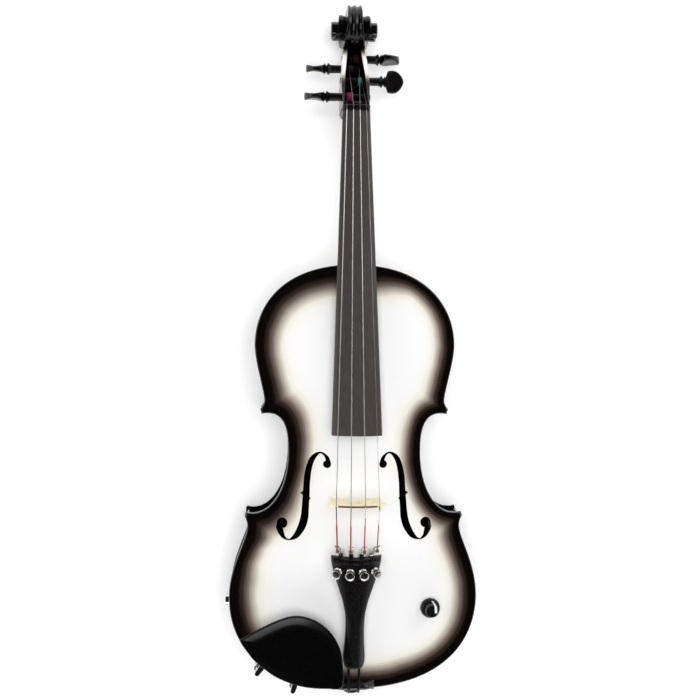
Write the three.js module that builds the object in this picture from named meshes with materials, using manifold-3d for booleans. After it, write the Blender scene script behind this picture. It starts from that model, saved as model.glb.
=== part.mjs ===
// Four-string electric violin: arched hollow body with f-holes, carved neck and scroll, geared by
// hand-turned pegs, fine tuners, a side chin rest, a pickup disc, a volume control and a jack.
// Millimetres. In the violin's own frame Y runs from tail to scroll, X to the treble side and Z out
// of the belly; the whole is then laid down on the arch of its back and on the back of its scroll.

import * as THREE from 'three';
import Module from 'manifold-3d';
import { mergeVertices } from 'three/addons/utils/BufferGeometryUtils.js';

const wasm = await Module();
wasm.setup();

// General clearances and overruns
const seatGap = 0.3;
const cutOverrun = 4;
const weldReach = 0.012;

// Body: outline
const bodyLength = 356;
const lowerBoutHalf = 104;
const waistHalf = 55.6;
const upperBoutHalf = 84;
const edgeOverhang = 2.7;

// Body: depth
const ribHeight = 31;
const plateEdge = 4;
const plateMiddle = 3;
const backRise = 11;
const bellyRise = 11.5;
const ribThickness = 1.3;
const liningThickness = 2;
const liningHeight = 7;
const restFlatDepth = 0.35;

// Body: inner structure
const endBlockHalf = 25;
const endBlockDepth = 16;
const upperBlockHalf = 27;
const upperBlockDepth = 17;
const cornerBlockReach = 24;
const bassBarLengthShare = 0.747191;
const bassBarLength = bassBarLengthShare * bodyLength;
const bassBarWidth = 5.5;
const bassBarDepth = 10;
const bassBarOffset = 16.5;
const bassBarStartShare = 0.123596;
const bassBarStart = bassBarStartShare * bodyLength;
const soundPostRadius = 3.1;
const soundPostOffset = 19.5;
const soundPostBehindBridge = 6;

// Sound holes
const holeLengthShare = 0.207865;
const holeLength = holeLengthShare * bodyLength;
const holeWidth = 44.8;
const holeInnerOffset = 20.1;
const holeFootShare = 0.353933;
const holeFoot = holeFootShare * bodyLength;
const holeUpperEye = 3.3;
const holeLowerEye = 4.4;
const holeNotch = 2.1;

// Neck and fingerboard
const neckLength = 129;
const neckSlope = 0.1256;
const boardOverEdge = 18;
const boardOverBodyShare = 0.396067;
const boardLength = neckLength + boardOverBodyShare * bodyLength;
const boardNutHalf = 11.5;
const boardEndHalf = 20.6;
const boardRadius = 42;
const boardEdgeDepth = 5;
const boardHollow = 3.4;
const boardHollowRun = 18;
const neckDepth = 11.9;
const neckDepthAtHeel = 13.4;
const neckRootDepth = 6;
const neckRootLap = 1;
const heelLength = 15;
const buttonRadius = 11;
const nutThickness = 5.8;
const nutOverBoard = 0.5;
const neckEdgeInset = 0.2;

// Head
const eyeReach = 79.2;
const eyeDrop = 38.7;
const eyeHalf = 20.5;
const eyeRadius = 4.9;
const scrollRadius = 21.5;
const scrollDecay = 0.118;
const scrollBackDecay = 0.07;
const fluteDepth = 1.2;
const scrollBevel = 1;
const cheekThickness = 4;
const pegboxFloor = 6.5;

// Pegs
const pegRadius = 3.7;
const pegTaper = 0.022;
const pegShankOut = 13;
const pegHeadLength = 17.6;
const pegHeadHalf = 9.8;
const pegHeadThickness = 8.6;
const pegCollarRadius = 4.7;
const pegCollarLength = 3.2;
const pegTailOut = 1.2;
const pegHoleSpare = 0.1;

// Strings: half thickness, from the lowest string to the highest
const lowRadius = 0.42;
const thirdRadius = 0.4;
const secondRadius = 0.35;
const highRadius = 0.2;
const bridgeSpread = 11.6;
const nutSpread = 5.5;
const windingGap = 0.5;
const windingTurns = 3;
const windingSteps = 18;
const windingSides = 6;
const stringLift = 0.2;

// Bridge
const bridgeStopShare = 0.449438;
const bridgeAt = bridgeStopShare * bodyLength;
const bridgeHeight = 33;
const bridgeHalf = 23.3;
const bridgeFootHalf = 20.7;
const bridgeRadius = 41.5;
const bridgeFootThickness = 4.6;
const bridgeTopThickness = 1.5;

// Tailpiece, tail loop, saddle and end button
const tailFrontShare = 0.331461;
const tailFront = tailFrontShare * bodyLength;
const tailEndInset = 17;
const tailLength = tailFront - tailEndInset;
const tailFrontHalf = 20.5;
const tailRadius = 42;
const tailTop = 22.3;
const tailEndTop = 2.2;
const tailDepth = 4.6;
const tailFretRise = 0.9;
const tailFretInset = 3.4;
const saddleHalf = 17.5;
const saddleDepth = 7.6;
const saddleOverEdge = 8;
const saddleRound = 2.4;
const loopRadius = 1.1;
const loopHalf = 4.4;
const loopHoleRun = 9;
const buttonPinRadius = 4;
const buttonHeadRadius = 7.3;
const buttonHeadOut = 8.6;
const buttonHeadLength = 4.6;
const buttonPinLength = 20;

// Fine tuners
const tunerBehindFront = 13.2;
const tunerSpread = 0.236;
const tunerPostRadius = 2.3;
const tunerPostBore = 1.75;
const tunerNutRadius = 3.3;
const tunerNutHeight = 1.7;
const tunerPlateHalf = 3.3;
const tunerPlateThickness = 1.1;
const tunerEarDepth = 4.6;
const tunerEarThickness = 0.9;
const tunerPinAhead = 8.5;
const tunerPinRadius = 0.9;
const tunerScrewRadius = 1.35;
const tunerHeadRadius = 3.8;
const tunerHeadHeight = 3.4;
const tunerHeadSpare = 2.35;
const tunerTravel = 0.85;
const leverThickness = 2;
const leverHalf = 1.9;
const leverHookAhead = 10.6;
const leverHookRise = 2.4;
const ballRadius = 1.5;
const ballHalf = 1.3;

// Chin rest
const cupRimHeight = 21;
const cupHollow = 5;
const cupWall = 4.5;
const cupSpan = 82.7;
const cupDepth = 60;
const cupInnerEnd = 10.6;
const cupTailInset = 7.4;
const cupPadDepth = 13;
const corkThickness = 2.2;
const clampOut = 6.2;
const clampRod = 1.5;
const barrelRadius = 3.3;
const barrelBore = 2;
const barrelLength = 19;
const clampPlate = 2;
const clampPlateDepth = 11;
const rodInBarrel = 5.5;

// Pickup, volume control and jack
const knobAcross = 64;
const knobAlongShare = 0.19382;
const knobAlong = knobAlongShare * bodyLength;
const knobSkirtRadius = 8.2;
const knobCapRadius = 5.2;
const knobHeight = 13;
const knobSkirtHeight = 3.4;
const potRadius = 8.2;
const potHeight = 8;
const potBushRadius = 3.3;
const potBushOut = 4.2;
const potShaftRadius = 2.4;
const potNutRadius = 5.2;
const potNutHeight = 1.6;
const jackAlongShare = 0.202247;
const jackAlong = jackAlongShare * bodyLength;
const jackSleeveRadius = 4.7;
const jackBore = 3.3;
const jackNutRadius = 6.6;
const jackNutThickness = 2.4;
const jackLength = 26;
const jackHousing = 6.8;
const jackOut = 6.7;
const jackShoulderGap = 1.8;
const piezoRadius = 10;
const piezoThickness = 1.2;
const piezoAcross = -2;
const leadRadius = 0.9;

// Levels of the rib box in the violin's own frame
const ribFoot = backRise + plateEdge;
const ribTop = ribFoot + ribHeight;
const bellyEdge = ribTop + plateEdge;
const bellyTop = bellyEdge + bellyRise;
const midRib = (ribFoot + ribTop) / 2;
const ribInset = edgeOverhang + ribThickness;
const nutAt = bodyLength + neckLength;

// Solids

function outward(geometry) {
  const place = geometry.getAttribute('position');
  const index = geometry.getIndex();
  const a = new THREE.Vector3();
  const b = new THREE.Vector3();
  const c = new THREE.Vector3();
  let volume = 0;
  for (let i = 0; i < index.count; i += 3) {
    a.fromBufferAttribute(place, index.getX(i));
    b.fromBufferAttribute(place, index.getX(i + 1));
    c.fromBufferAttribute(place, index.getX(i + 2));
    volume += a.dot(b.cross(c));
  }
  if (volume < 0) {
    const flipped = Array.from(index.array);
    for (let i = 0; i < flipped.length; i += 3) {
      [flipped[i], flipped[i + 1]] = [flipped[i + 1], flipped[i]];
    }
    geometry.setIndex(flipped);
  }
  return geometry;
}

// Keep positions only, join shared corners, and drop the triangles that this closes up
function cleaned(source) {
  const geometry = source.clone();
  geometry.deleteAttribute('normal');
  geometry.deleteAttribute('uv');
  const merged = mergeVertices(geometry, 1e-4);
  const kept = [];
  const index = merged.getIndex().array;
  for (let i = 0; i < index.length; i += 3) {
    const [a, b, c] = [index[i], index[i + 1], index[i + 2]];
    if (a !== b && b !== c && c !== a) kept.push(a, b, c);
  }
  merged.setIndex(kept);
  return outward(merged);
}

function solid(geometry) {
  const merged = cleaned(geometry);
  return new wasm.Manifold(new wasm.Mesh({
    numProp: 3,
    vertProperties: new Float32Array(merged.getAttribute('position').array),
    triVerts: new Uint32Array(merged.getIndex().array),
  }));
}

// A joined or cut body as a geometry, with corners closer than the weld reach brought together
function geometryOf(body) {
  const mesh = body.getMesh();
  const corners = [];
  const place = [];
  for (let i = 0; i < mesh.vertProperties.length; i += mesh.numProp) {
    const corner = new THREE.Vector3(...mesh.vertProperties.slice(i, i + 3));
    const near = corners.findIndex((other) => other.distanceTo(corner) < weldReach);
    place.push(near < 0 ? corners.push(corner) - 1 : near);
  }
  const kept = [];
  for (let i = 0; i < mesh.triVerts.length; i += 3) {
    const [a, b, c] = [0, 1, 2].map((k) => place[mesh.triVerts[i + k]]);
    if (a !== b && b !== c && c !== a) kept.push(a, b, c);
  }
  const geometry = new THREE.BufferGeometry();
  geometry.setAttribute('position', new THREE.Float32BufferAttribute(corners.flatMap((p) => p.toArray()), 3));
  geometry.setIndex(kept);
  return geometry;
}

const joined = (first, ...others) => others.reduce((whole, next) => whole.add(next), first);
const cut = (first, ...tools) => tools.reduce((whole, next) => whole.subtract(next), first);
const largest = (body) => body.decompose().sort((a, b) => b.volume() - a.volume())[0];

function fromRings(rings, closedLoop = false) {
  const count = rings[0].length;
  const points = rings.flat();
  const triangles = [];
  const last = closedLoop ? rings.length : rings.length - 1;
  for (let r = 0; r < last; r += 1) {
    const next = (r + 1) % rings.length;
    for (let i = 0; i < count; i += 1) {
      const j = (i + 1) % count;
      const [a, b, c, d] = [r * count + i, r * count + j, next * count + j, next * count + i];
      triangles.push(a, b, c, a, c, d);
    }
  }
  if (!closedLoop) {
    for (const r of [0, rings.length - 1]) {
      const middle = new THREE.Vector3();
      rings[r].forEach((p) => middle.addScaledVector(p, 1 / count));
      const centre = points.push(middle) - 1;
      for (let i = 0; i < count; i += 1) {
        const j = (i + 1) % count;
        const [a, b] = [r * count + i, r * count + j];
        triangles.push(...(r === 0 ? [centre, b, a] : [centre, a, b]));
      }
    }
  }
  const geometry = new THREE.BufferGeometry();
  geometry.setAttribute('position', new THREE.Float32BufferAttribute(points.flatMap((p) => p.toArray()), 3));
  geometry.setIndex(triangles);
  return geometry;
}

const loft = (rings) => solid(fromRings(rings));

function prism(points, low, high) {
  const shape = new THREE.Shape(points.map(([x, y]) => new THREE.Vector2(x, y)));
  const geometry = new THREE.ExtrudeGeometry(shape, { depth: high - low, bevelEnabled: false, curveSegments: 1 });
  geometry.translate(0, 0, low);
  return solid(geometry);
}

// A flat outline in X and Z, given thickness along Y
function upright(points, from, to) {
  const shape = new THREE.Shape(points.map(([x, z]) => new THREE.Vector2(x, z)));
  const geometry = new THREE.ExtrudeGeometry(shape, { depth: to - from, bevelEnabled: false, curveSegments: 1 });
  geometry.rotateX(Math.PI / 2);
  geometry.translate(0, to, 0);
  return solid(geometry);
}

// A flat outline in Y and Z, given thickness along X
function sideways(points, from, to) {
  const shape = new THREE.Shape(points.map(([y, z]) => new THREE.Vector2(y, z)));
  const geometry = new THREE.ExtrudeGeometry(shape, { depth: to - from, bevelEnabled: false, curveSegments: 1 });
  geometry.rotateX(Math.PI / 2);
  geometry.rotateZ(Math.PI / 2);
  geometry.translate(from, 0, 0);
  return solid(geometry);
}

function block(low, high) {
  const size = high.map((value, i) => value - low[i]);
  const geometry = new THREE.BoxGeometry(...size);
  geometry.translate(...low.map((value, i) => value + size[i] / 2));
  return solid(geometry);
}

// A turned piece: profile pairs of radius and height, standing on Z and then aimed along a direction
function turned(profile, sides, foot = [0, 0, 0], aim = [0, 0, 1]) {
  const points = profile.map(([radius, height]) => new THREE.Vector2(radius, height));
  const geometry = new THREE.LatheGeometry(points, sides);
  geometry.rotateX(Math.PI / 2);
  const turn = new THREE.Quaternion();
  turn.setFromUnitVectors(new THREE.Vector3(0, 0, 1), new THREE.Vector3(...aim).normalize());
  geometry.applyQuaternion(turn);
  geometry.translate(...foot);
  return solid(geometry);
}

const rod = (radius, length, sides, foot, aim) =>
  turned([[0, 0], [radius, 0], [radius, length], [0, length]], sides, foot, aim);

const hexNut = (half, bore, length, foot, aim) =>
  cut(rod(half, length, 6, foot, aim), rod(bore, length, 12, foot, aim));

const tubeRound = (outer, bore, length, sides, foot, aim) =>
  turned([[bore, 0], [outer, 0], [outer, length], [bore, length], [bore, 0]], sides, foot, aim);

// A path that is drawn through its own points, one step to a point
class PointPath extends THREE.Curve {
  constructor(points) {
    super();
    this.points = points;
  }

  getPoint(t, target = new THREE.Vector3()) {
    const reach = Math.min(Math.max(t, 0), 1) * (this.points.length - 1);
    const start = Math.min(Math.floor(reach), this.points.length - 2);
    return target.copy(this.points[start]).lerp(this.points[start + 1], reach - start);
  }

  getPointAt(t, target) {
    return this.getPoint(t, target);
  }

  getTangentAt(t, target) {
    return this.getTangent(t, target);
  }
}

function cordAlong(points, radius, sides) {
  const section = new THREE.Shape();
  for (let i = 0; i < sides; i += 1) {
    const angle = (i / sides) * 2 * Math.PI;
    const place = [radius * Math.cos(angle), radius * Math.sin(angle)];
    if (i === 0) section.moveTo(...place);
    else section.lineTo(...place);
  }
  section.closePath();
  const path = new PointPath(points);
  const options = { steps: points.length - 1, bevelEnabled: false, extrudePath: path, curveSegments: 1 };
  return new THREE.ExtrudeGeometry(section, options);
}

const smoothPath = (points, steps) =>
  new THREE.CatmullRomCurve3(points.map((p) => new THREE.Vector3(...p)), false, 'centripetal').getPoints(steps);

const vectors = (points) => points.map((p) => new THREE.Vector3(...p));

// Materials
const finish = (colour, roughness, metalness = 0) =>
  new THREE.MeshStandardMaterial({ color: colour, roughness, metalness });
const whiteLacquer = finish(0xf2f2ef, 0.2);
const blackLacquer = finish(0x101012, 0.2);
const ebony = finish(0x1b1a1a, 0.38);
const spruce = finish(0xd9bd8a, 0.6);
const maple = finish(0xe2c58f, 0.55);
const nickel = finish(0xc9c8c4, 0.22, 1);
const steel = finish(0xb9babb, 0.3, 1);
const cork = finish(0xb0804f, 0.9);
const blackPlastic = finish(0x141414, 0.45);
const brass = finish(0xb08d4a, 0.35, 1);
const nylon = finish(0x151515, 0.5);

const violin = new THREE.Group();

function place(name, body, material, parent = violin) {
  const geometry = body instanceof THREE.BufferGeometry ? cleaned(body) : geometryOf(body);
  const mesh = new THREE.Mesh(geometry, material);
  mesh.name = name;
  parent.add(mesh);
  return mesh;
}

// Body outline: each stretch is one curve of four points, in shares of the half width that it
// follows and of the body length. The tip of a corner is the short edge between two stretches.

const lowerHalfShares = [[0, 0], [0.734, 0], [1, 0.108], [1, 0.219]];
const lowerNeckShares = [[1, 0.219], [1, 0.295], [0.857, 0.354], [0.857, 0.386]];
const lowerTipShares = [[0.857, 0.386], [0.857, 0.393], [0.866, 0.402], [0.88, 0.409]];
const waistStartShares = [[0.87, 0.418], [0.679, 0.403]];
const waistShares = [0.469, 0.56, 0.602];
const waistEndShares = [[0.679, 0.66], [0.926, 0.648]];
const upperTipShares = [[0.94, 0.66], [0.917, 0.665], [0.901, 0.674], [0.901, 0.681]];
const upperNeckShares = [[0.901, 0.681], [0.901, 0.699], [1, 0.773], [1, 0.81]];
const upperHalfShares = [[1, 0.81], [1, 0.902], [0.724, 1], [0, 1]];

function stretch(points, steps) {
  const [a, b, c, d] = points.map(([x, y]) => new THREE.Vector2(x, y));
  return new THREE.CubicBezierCurve(a, b, c, d).getPoints(steps).map((p) => [p.x, p.y]);
}

const onHalf = (half) => ([across, along]) => [across * half, along * bodyLength];
const waistPoint = (share) => [waistHalf, share * bodyLength];

const lowerBout = [
  ...stretch(lowerHalfShares.map(onHalf(lowerBoutHalf)), 10),
  ...stretch(lowerNeckShares.map(onHalf(lowerBoutHalf)), 5).slice(1),
  ...stretch(lowerTipShares.map(onHalf(lowerBoutHalf)), 2).slice(1),
];
const waistBout = [
  ...stretch([
    ...waistStartShares.map(onHalf(lowerBoutHalf)),
    waistPoint(waistShares[0]),
    waistPoint(waistShares[1]),
  ], 7),
  ...stretch([
    waistPoint(waistShares[1]),
    waistPoint(waistShares[2]),
    ...waistEndShares.map(onHalf(upperBoutHalf)),
  ], 7).slice(1),
];
const upperBout = [
  ...stretch(upperTipShares.map(onHalf(upperBoutHalf)), 2),
  ...stretch(upperNeckShares.map(onHalf(upperBoutHalf)), 5).slice(1),
  ...stretch(upperHalfShares.map(onHalf(upperBoutHalf)), 9).slice(1),
];

const mirrored = (points) => points.map(([x, ...rest]) => [-x, ...rest]).reverse();
const halfOutline = [...lowerBout, ...waistBout, ...upperBout];
const outline = [...halfOutline, ...mirrored(halfOutline).slice(1, -1)];

// The same curve moved into the body by an inset, for ribs, linings and blocks
function inside(points, inset) {
  return points.map((point, i) => {
    const before = points[Math.max(i - 1, 0)];
    const after = points[Math.min(i + 1, points.length - 1)];
    const run = [after[0] - before[0], after[1] - before[1]];
    const length = Math.hypot(...run);
    return [point[0] - (run[1] / length) * inset, point[1] + (run[0] / length) * inset];
  });
}

function band(points, outer, inner) {
  return [...inside(points, outer), ...inside(points, inner).reverse()];
}

// Arching: a bell across the body times a bell along it
const archLowerShare = 0.219;
const archUpperShare = 0.81;
const archLowerSpread = 0.3;
const archLowerTailSpread = 0.36;
const archUpperSpread = 0.27;
const archUpperHeadSpread = 0.34;
const archMargin = 6;
const archAcrossPower = 1.25;
const archAlongPower = 1.75;

const bell = (t) => (Math.abs(t) < 1 ? Math.cos((Math.PI / 2) * t) ** 2 : 0);

function archHalf(y) {
  const share = y / bodyLength;
  const low = share - archLowerShare;
  const high = share - archUpperShare;
  const lowBell = bell(low / (low < 0 ? archLowerTailSpread : archLowerSpread));
  const highBell = bell(high / (high > 0 ? archUpperHeadSpread : archUpperSpread));
  const extra = (lowerBoutHalf - waistHalf) * lowBell + (upperBoutHalf - waistHalf) * highBell;
  return waistHalf + extra - archMargin;
}

function arch(x, y) {
  const along = Math.abs(y / bodyLength - 1 / 2) * 2 * (1 + archMargin / bodyLength);
  const across = Math.abs(x) / archHalf(y);
  return bell(Math.min(along, 1) ** archAlongPower) * bell(Math.min(across, 1) ** archAcrossPower);
}

const bellyOuter = (x, y) => bellyEdge + bellyRise * arch(x, y);
const bellyInner = (x, y) => ribTop + (bellyRise + plateEdge - plateMiddle) * arch(x, y);
const backOuter = (x, y) => backRise - backRise * arch(x, y);
const backInner = (x, y) => ribFoot - (backRise + plateMiddle - plateEdge) * arch(x, y);

// A sheet of given upper and lower surface over a grid that holds the whole body
const gridAcross = 6;
const gridAlong = 19;
const gridShares = Array.from({ length: 2 * gridAcross + 1 }, (_, i) => i / gridAcross - 1);

function slab(upper, lower) {
  const half = lowerBoutHalf + cutOverrun;
  const rows = [];
  for (let j = 0; j <= gridAlong; j += 1) {
    const y = -cutOverrun + ((bodyLength + buttonRadius * 2 + 2 * cutOverrun) * j) / gridAlong;
    rows.push(gridShares.map((share) => [half * share * (1 + Math.abs(share)) / 2, y]));
  }
  const columns = gridShares.length;
  const points = [];
  for (const level of [upper, lower]) {
    rows.forEach((row) => row.forEach(([x, y]) => points.push(x, y, level(x, y))));
  }
  const layer = rows.length * columns;
  const at = (j, i) => j * columns + i;
  const triangles = [];
  for (let j = 0; j < rows.length - 1; j += 1) {
    for (let i = 0; i < columns - 1; i += 1) {
      const [a, b, c, d] = [at(j, i), at(j, i + 1), at(j + 1, i + 1), at(j + 1, i)];
      triangles.push(a, b, c, a, c, d);
      triangles.push(layer + a, layer + c, layer + b, layer + a, layer + d, layer + c);
    }
  }
  const rim = [];
  for (let i = 0; i < columns - 1; i += 1) rim.push(at(0, i));
  for (let j = 0; j < rows.length - 1; j += 1) rim.push(at(j, columns - 1));
  for (let i = columns - 1; i > 0; i -= 1) rim.push(at(rows.length - 1, i));
  for (let j = rows.length - 1; j > 0; j -= 1) rim.push(at(j, 0));
  rim.forEach((a, i) => {
    const b = rim[(i + 1) % rim.length];
    triangles.push(a, layer + a, layer + b, a, layer + b, b);
  });
  const geometry = new THREE.BufferGeometry();
  geometry.setAttribute('position', new THREE.Float32BufferAttribute(points, 3));
  geometry.setIndex(triangles);
  return solid(geometry);
}

const farOver = () => 2 * bellyTop;
const farUnder = () => -bellyTop;
const bellyAndUnder = slab((x, y) => bellyOuter(x, y) + seatGap, farUnder);
const backAndUnder = slab((x, y) => backInner(x, y) + seatGap, farUnder);
const ceilingAndOver = slab(farOver, (x, y) => bellyInner(x, y) - seatGap);

// Neck root, cut with its clearance from all that it is let into
const boardTopAt = (y) => ribTop + boardOverEdge - neckSlope * (y - bodyLength);
const boardShare = (y) => (nutAt - y) / boardLength;
const boardHalf = (y) => boardNutHalf + (boardEndHalf - boardNutHalf) * boardShare(y);
const boardSag = (half) => boardRadius - Math.sqrt(boardRadius ** 2 - half ** 2);
const boardFootAt = (y) => boardTopAt(y) - boardSag(boardHalf(y)) - boardEdgeDepth;
const neckTopAt = (y) => boardFootAt(y) - seatGap;
const heelHalfShare = 0.97;

function rootSolid(clearance) {
  const front = bodyLength + seatGap + neckRootLap;
  const back = bodyLength - neckRootDepth - clearance;
  const rings = [back, front].map((y) => {
    const topHalf = boardHalf(bodyLength) * heelHalfShare - neckEdgeInset + clearance;
    const footHalf = buttonRadius * heelHalfShare + clearance;
    const top = neckTopAt(y) + clearance;
    const foot = ribFoot + seatGap - clearance;
    return vectors([[-footHalf, y, foot], [footHalf, y, foot], [topHalf, y, top], [-topHalf, y, top]]);
  });
  return loft(rings);
}

// Sound hole outline: two sides of the stem and curls, then the eyes and the notches
const holeOuterShares = [
  [0, 0.875], [0.056, 0.953], [0.2, 1], [0.362, 0.949], [0.444, 0.849], [0.489, 0.728], [0.507, 0.6],
  [0.522, 0.45], [0.556, 0.257], [0.627, 0.128], [0.71, 0.045], [0.775, 0.017], [0.84, 0.05], [0.873, 0.128],
];
const holeInnerShares = [
  [0.096, 0.907], [0.136, 0.957], [0.208, 0.976], [0.297, 0.906], [0.35, 0.802], [0.38, 0.655],
  [0.388, 0.5], [0.4, 0.364], [0.411, 0.257], [0.467, 0.141], [0.605, 0.03], [0.775, 0],
  [0.906, 0.032], [1, 0.121], [0.995, 0.182],
];
const upperEyeShares = [0.071, 0.862];
const lowerEyeShares = [0.893, 0.191];
const notchShare = 0.5;
const holePlace = ([across, along]) => [holeInnerOffset + across * holeWidth, holeFoot + along * holeLength];
const holeSteps = 17;
const eyeSides = 12;

function splined(shares, steps) {
  const points = shares.map((pair) => new THREE.Vector2(...holePlace(pair)));
  return new THREE.SplineCurve(points).getPoints(steps).map((p) => [p.x, p.y]);
}

function roundCut(centre, radius, low, high, sides) {
  return rod(radius, high - low, sides, [...centre, low]);
}

function soundHole(low, high) {
  const stem = [...splined(holeInnerShares, holeSteps), ...splined(holeOuterShares, holeSteps).reverse()];
  const middle = holeFoot + notchShare * holeLength;
  const [left] = holePlace([0.388, notchShare]);
  const [right] = holePlace([0.52, notchShare]);
  const notch = [
    [left - holeNotch / 2, middle - holeNotch],
    [left + holeNotch / 2, middle - 2 * holeNotch],
    [right - holeNotch / 2, middle],
    [right + holeNotch, middle + holeNotch],
    [right - holeNotch / 2, middle + 2 * holeNotch],
    [left + holeNotch / 2, middle],
  ];
  return joined(
    prism(stem, low, high),
    roundCut(holePlace(upperEyeShares), holeUpperEye, low, high, eyeSides),
    roundCut(holePlace(lowerEyeShares), holeLowerEye, low, high, eyeSides),
    prism(notch, low, high),
  );
}

const holeTreble = soundHole(ribTop - cutOverrun, bellyTop + cutOverrun);
const holeBass = holeTreble.mirror([1, 0, 0]);

// Belly and back
const wholeBody = prism(outline, farUnder(), farOver());
const rootCut = rootSolid(seatGap);
const saddleCut = block(
  [-saddleHalf - seatGap, -cutOverrun, ribTop - seatGap],
  [saddleHalf + seatGap, saddleDepth + seatGap, bellyTop],
);
const bushCut = roundCut([knobAcross, knobAlong], potBushRadius + seatGap, ribTop, bellyTop, eyeSides);
const bellySheet = slab(bellyOuter, bellyInner).intersect(wholeBody);
place('belly', cut(bellySheet, holeTreble, holeBass, rootCut, saddleCut, bushCut), whiteLacquer);

const buttonSides = 20;
const button = roundCut([0, bodyLength], buttonRadius, backRise, ribFoot, buttonSides);
const backSheet = slab(backInner, backOuter);
const backBody = joined(backSheet.intersect(wholeBody), button);

// Head curve of the back of the scroll, needed here for how the violin lies
const eyeAlong = nutAt + eyeReach;
const boardTopAtNut = boardTopAt(nutAt);
const eyeLevel = boardTopAtNut - eyeDrop;
const spiralRadius = (angle) => scrollRadius * Math.exp(-angle * (angle < 0 ? scrollBackDecay : scrollDecay));
const spiralPoint = (angle, inset = 0) => {
  const reach = spiralRadius(angle) - inset;
  return [eyeAlong + reach * Math.cos(angle), eyeLevel + reach * Math.sin(angle)];
};

// The violin lies on a plane that touches the arch of the back and the back of the scroll
const restSteps = 60;
const scrollLow = spiralPoint(-Math.PI / 2);
const restLine = Array.from({ length: restSteps }, (_, i) => {
  const y = (bodyLength * i) / restSteps;
  return { y, slope: (backOuter(0, y) - scrollLow[1]) / (scrollLow[0] - y) };
});
const restContact = restLine.reduce((best, spot) => (spot.slope < best.slope ? spot : best));
const restSlope = restContact.slope;
const restTilt = Math.atan(restSlope);
const restDrop = scrollLow[1] * Math.cos(restTilt) + scrollLow[0] * Math.sin(restTilt) + restFlatDepth;
violin.rotation.x = restTilt;

const restCut = (() => {
  const reach = 2 * bodyLength;
  const geometry = new THREE.BoxGeometry(2 * reach, 2 * reach, bodyLength);
  geometry.translate(0, bodyLength / 2, restDrop - bodyLength / 2);
  geometry.rotateX(-restTilt);
  return solid(geometry);
})();
place('back_plate', cut(backBody, restCut), whiteLacquer);

// Ribs, each with its linings, trimmed where two bouts meet in a corner
const ribLow = ribFoot + seatGap;
const ribHigh = ribTop - seatGap;
const liningRunShares = { lower: [0.18, 0.8], waist: [0.3, 0.7], upper: [0.25, 0.72] };
const bouts = { lower: lowerBout, waist: waistBout, upper: upperBout };
const ribBand = (bout, outer, inner) => prism(band(bouts[bout], outer, inner), ribLow, ribHigh);
const outerBand = (bout) => prism(band(bouts[bout], -cutOverrun, edgeOverhang), ribLow - seatGap, ribHigh + seatGap);
const thickBand = (bout) =>
  prism(band(bouts[bout], -cutOverrun, ribInset + seatGap), ribLow - seatGap, ribHigh + seatGap);

function lining(bout) {
  const points = bouts[bout];
  const [from, to] = liningRunShares[bout].map((share) => Math.round(share * (points.length - 1)));
  const strip = band(points.slice(from, to + 1), ribInset - seatGap, ribInset + liningThickness);
  return joined(prism(strip, ribLow, ribLow + liningHeight), prism(strip, ribHigh - liningHeight, ribHigh));
}

const halfSpace = block([seatGap / 2, -bodyLength, farUnder()], [2 * bodyLength, 2 * bodyLength, farOver()]);
const buttonPinCut = rod(buttonPinRadius + seatGap, 2 * buttonPinLength, eyeSides,
  [0, buttonPinLength + cutOverrun, midRib], [0, -1, 0]);
const jackCentre = [-lowerBoutHalf + edgeOverhang, jackAlong, midRib];
const jackCut = rod(jackSleeveRadius + seatGap, 4 * ribThickness, eyeSides,
  [jackCentre[0] - 2 * ribThickness, jackCentre[1], jackCentre[2]], [1, 0, 0]);
const ribs = {
  lower: cut(ribBand('lower', edgeOverhang, ribInset), outerBand('waist')).add(lining('lower')),
  waist: cut(ribBand('waist', edgeOverhang, ribInset), thickBand('lower'), thickBand('upper')).add(lining('waist')),
  upper: cut(ribBand('upper', edgeOverhang, ribInset), outerBand('waist')).add(lining('upper')),
};
ribs.lower = cut(ribs.lower, buttonPinCut).intersect(halfSpace);
ribs.upper = cut(ribs.upper, rootCut);
for (const [bout, name] of [['lower', 'lower_rib'], ['waist', 'waist_rib'], ['upper', 'upper_rib']]) {
  const rib = largest(ribs[bout]);
  place(`${name}_treble`, rib, blackLacquer);
  const other = rib.mirror([1, 0, 0]);
  place(`${name}_bass`, bout === 'lower' ? cut(other, jackCut) : other, blackLacquer);
}

// Blocks
const innerBody = cut(
  wholeBody.intersect(block([seatGap, -bodyLength, ribLow], [bodyLength, 2 * bodyLength, ribHigh])),
  thickBand('lower'), thickBand('waist'), thickBand('upper'),
);
const innerWhole = innerBody.add(innerBody.mirror([1, 0, 0])).add(
  block([-1, ribInset + seatGap, ribLow], [1, bodyLength - ribInset - seatGap, ribHigh]),
);
function cornerBlock(along) {
  const reach = cornerBlockReach;
  const [half] = along < bodyLength / 2 ? lowerBout.at(-1) : upperBout[0];
  const inner = half - reach;
  const room = block([inner, along - reach * 0.62, ribLow], [half, along + reach * 0.62, ribHigh]);
  return largest(innerBody.intersect(room));
}
const lowerCorner = cornerBlock(lowerBout.at(-1)[1]);
const upperCorner = cornerBlock(upperBout[0][1]);
place('lower_corner_block_treble', lowerCorner, spruce);
place('lower_corner_block_bass', lowerCorner.mirror([1, 0, 0]), spruce);
place('upper_corner_block_treble', upperCorner, spruce);
place('upper_corner_block_bass', upperCorner.mirror([1, 0, 0]), spruce);
const tailBlock = innerWhole.intersect(
  block([-endBlockHalf, 0, ribLow], [endBlockHalf, ribInset + endBlockDepth, ribHigh]));
place('lower_block', cut(tailBlock, buttonPinCut), spruce);
const headBlock = innerWhole.intersect(
  block([-upperBlockHalf, bodyLength - ribInset - upperBlockDepth, ribLow], [upperBlockHalf, bodyLength, ribHigh]));
place('upper_block', cut(headBlock, rootCut), spruce);

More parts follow.
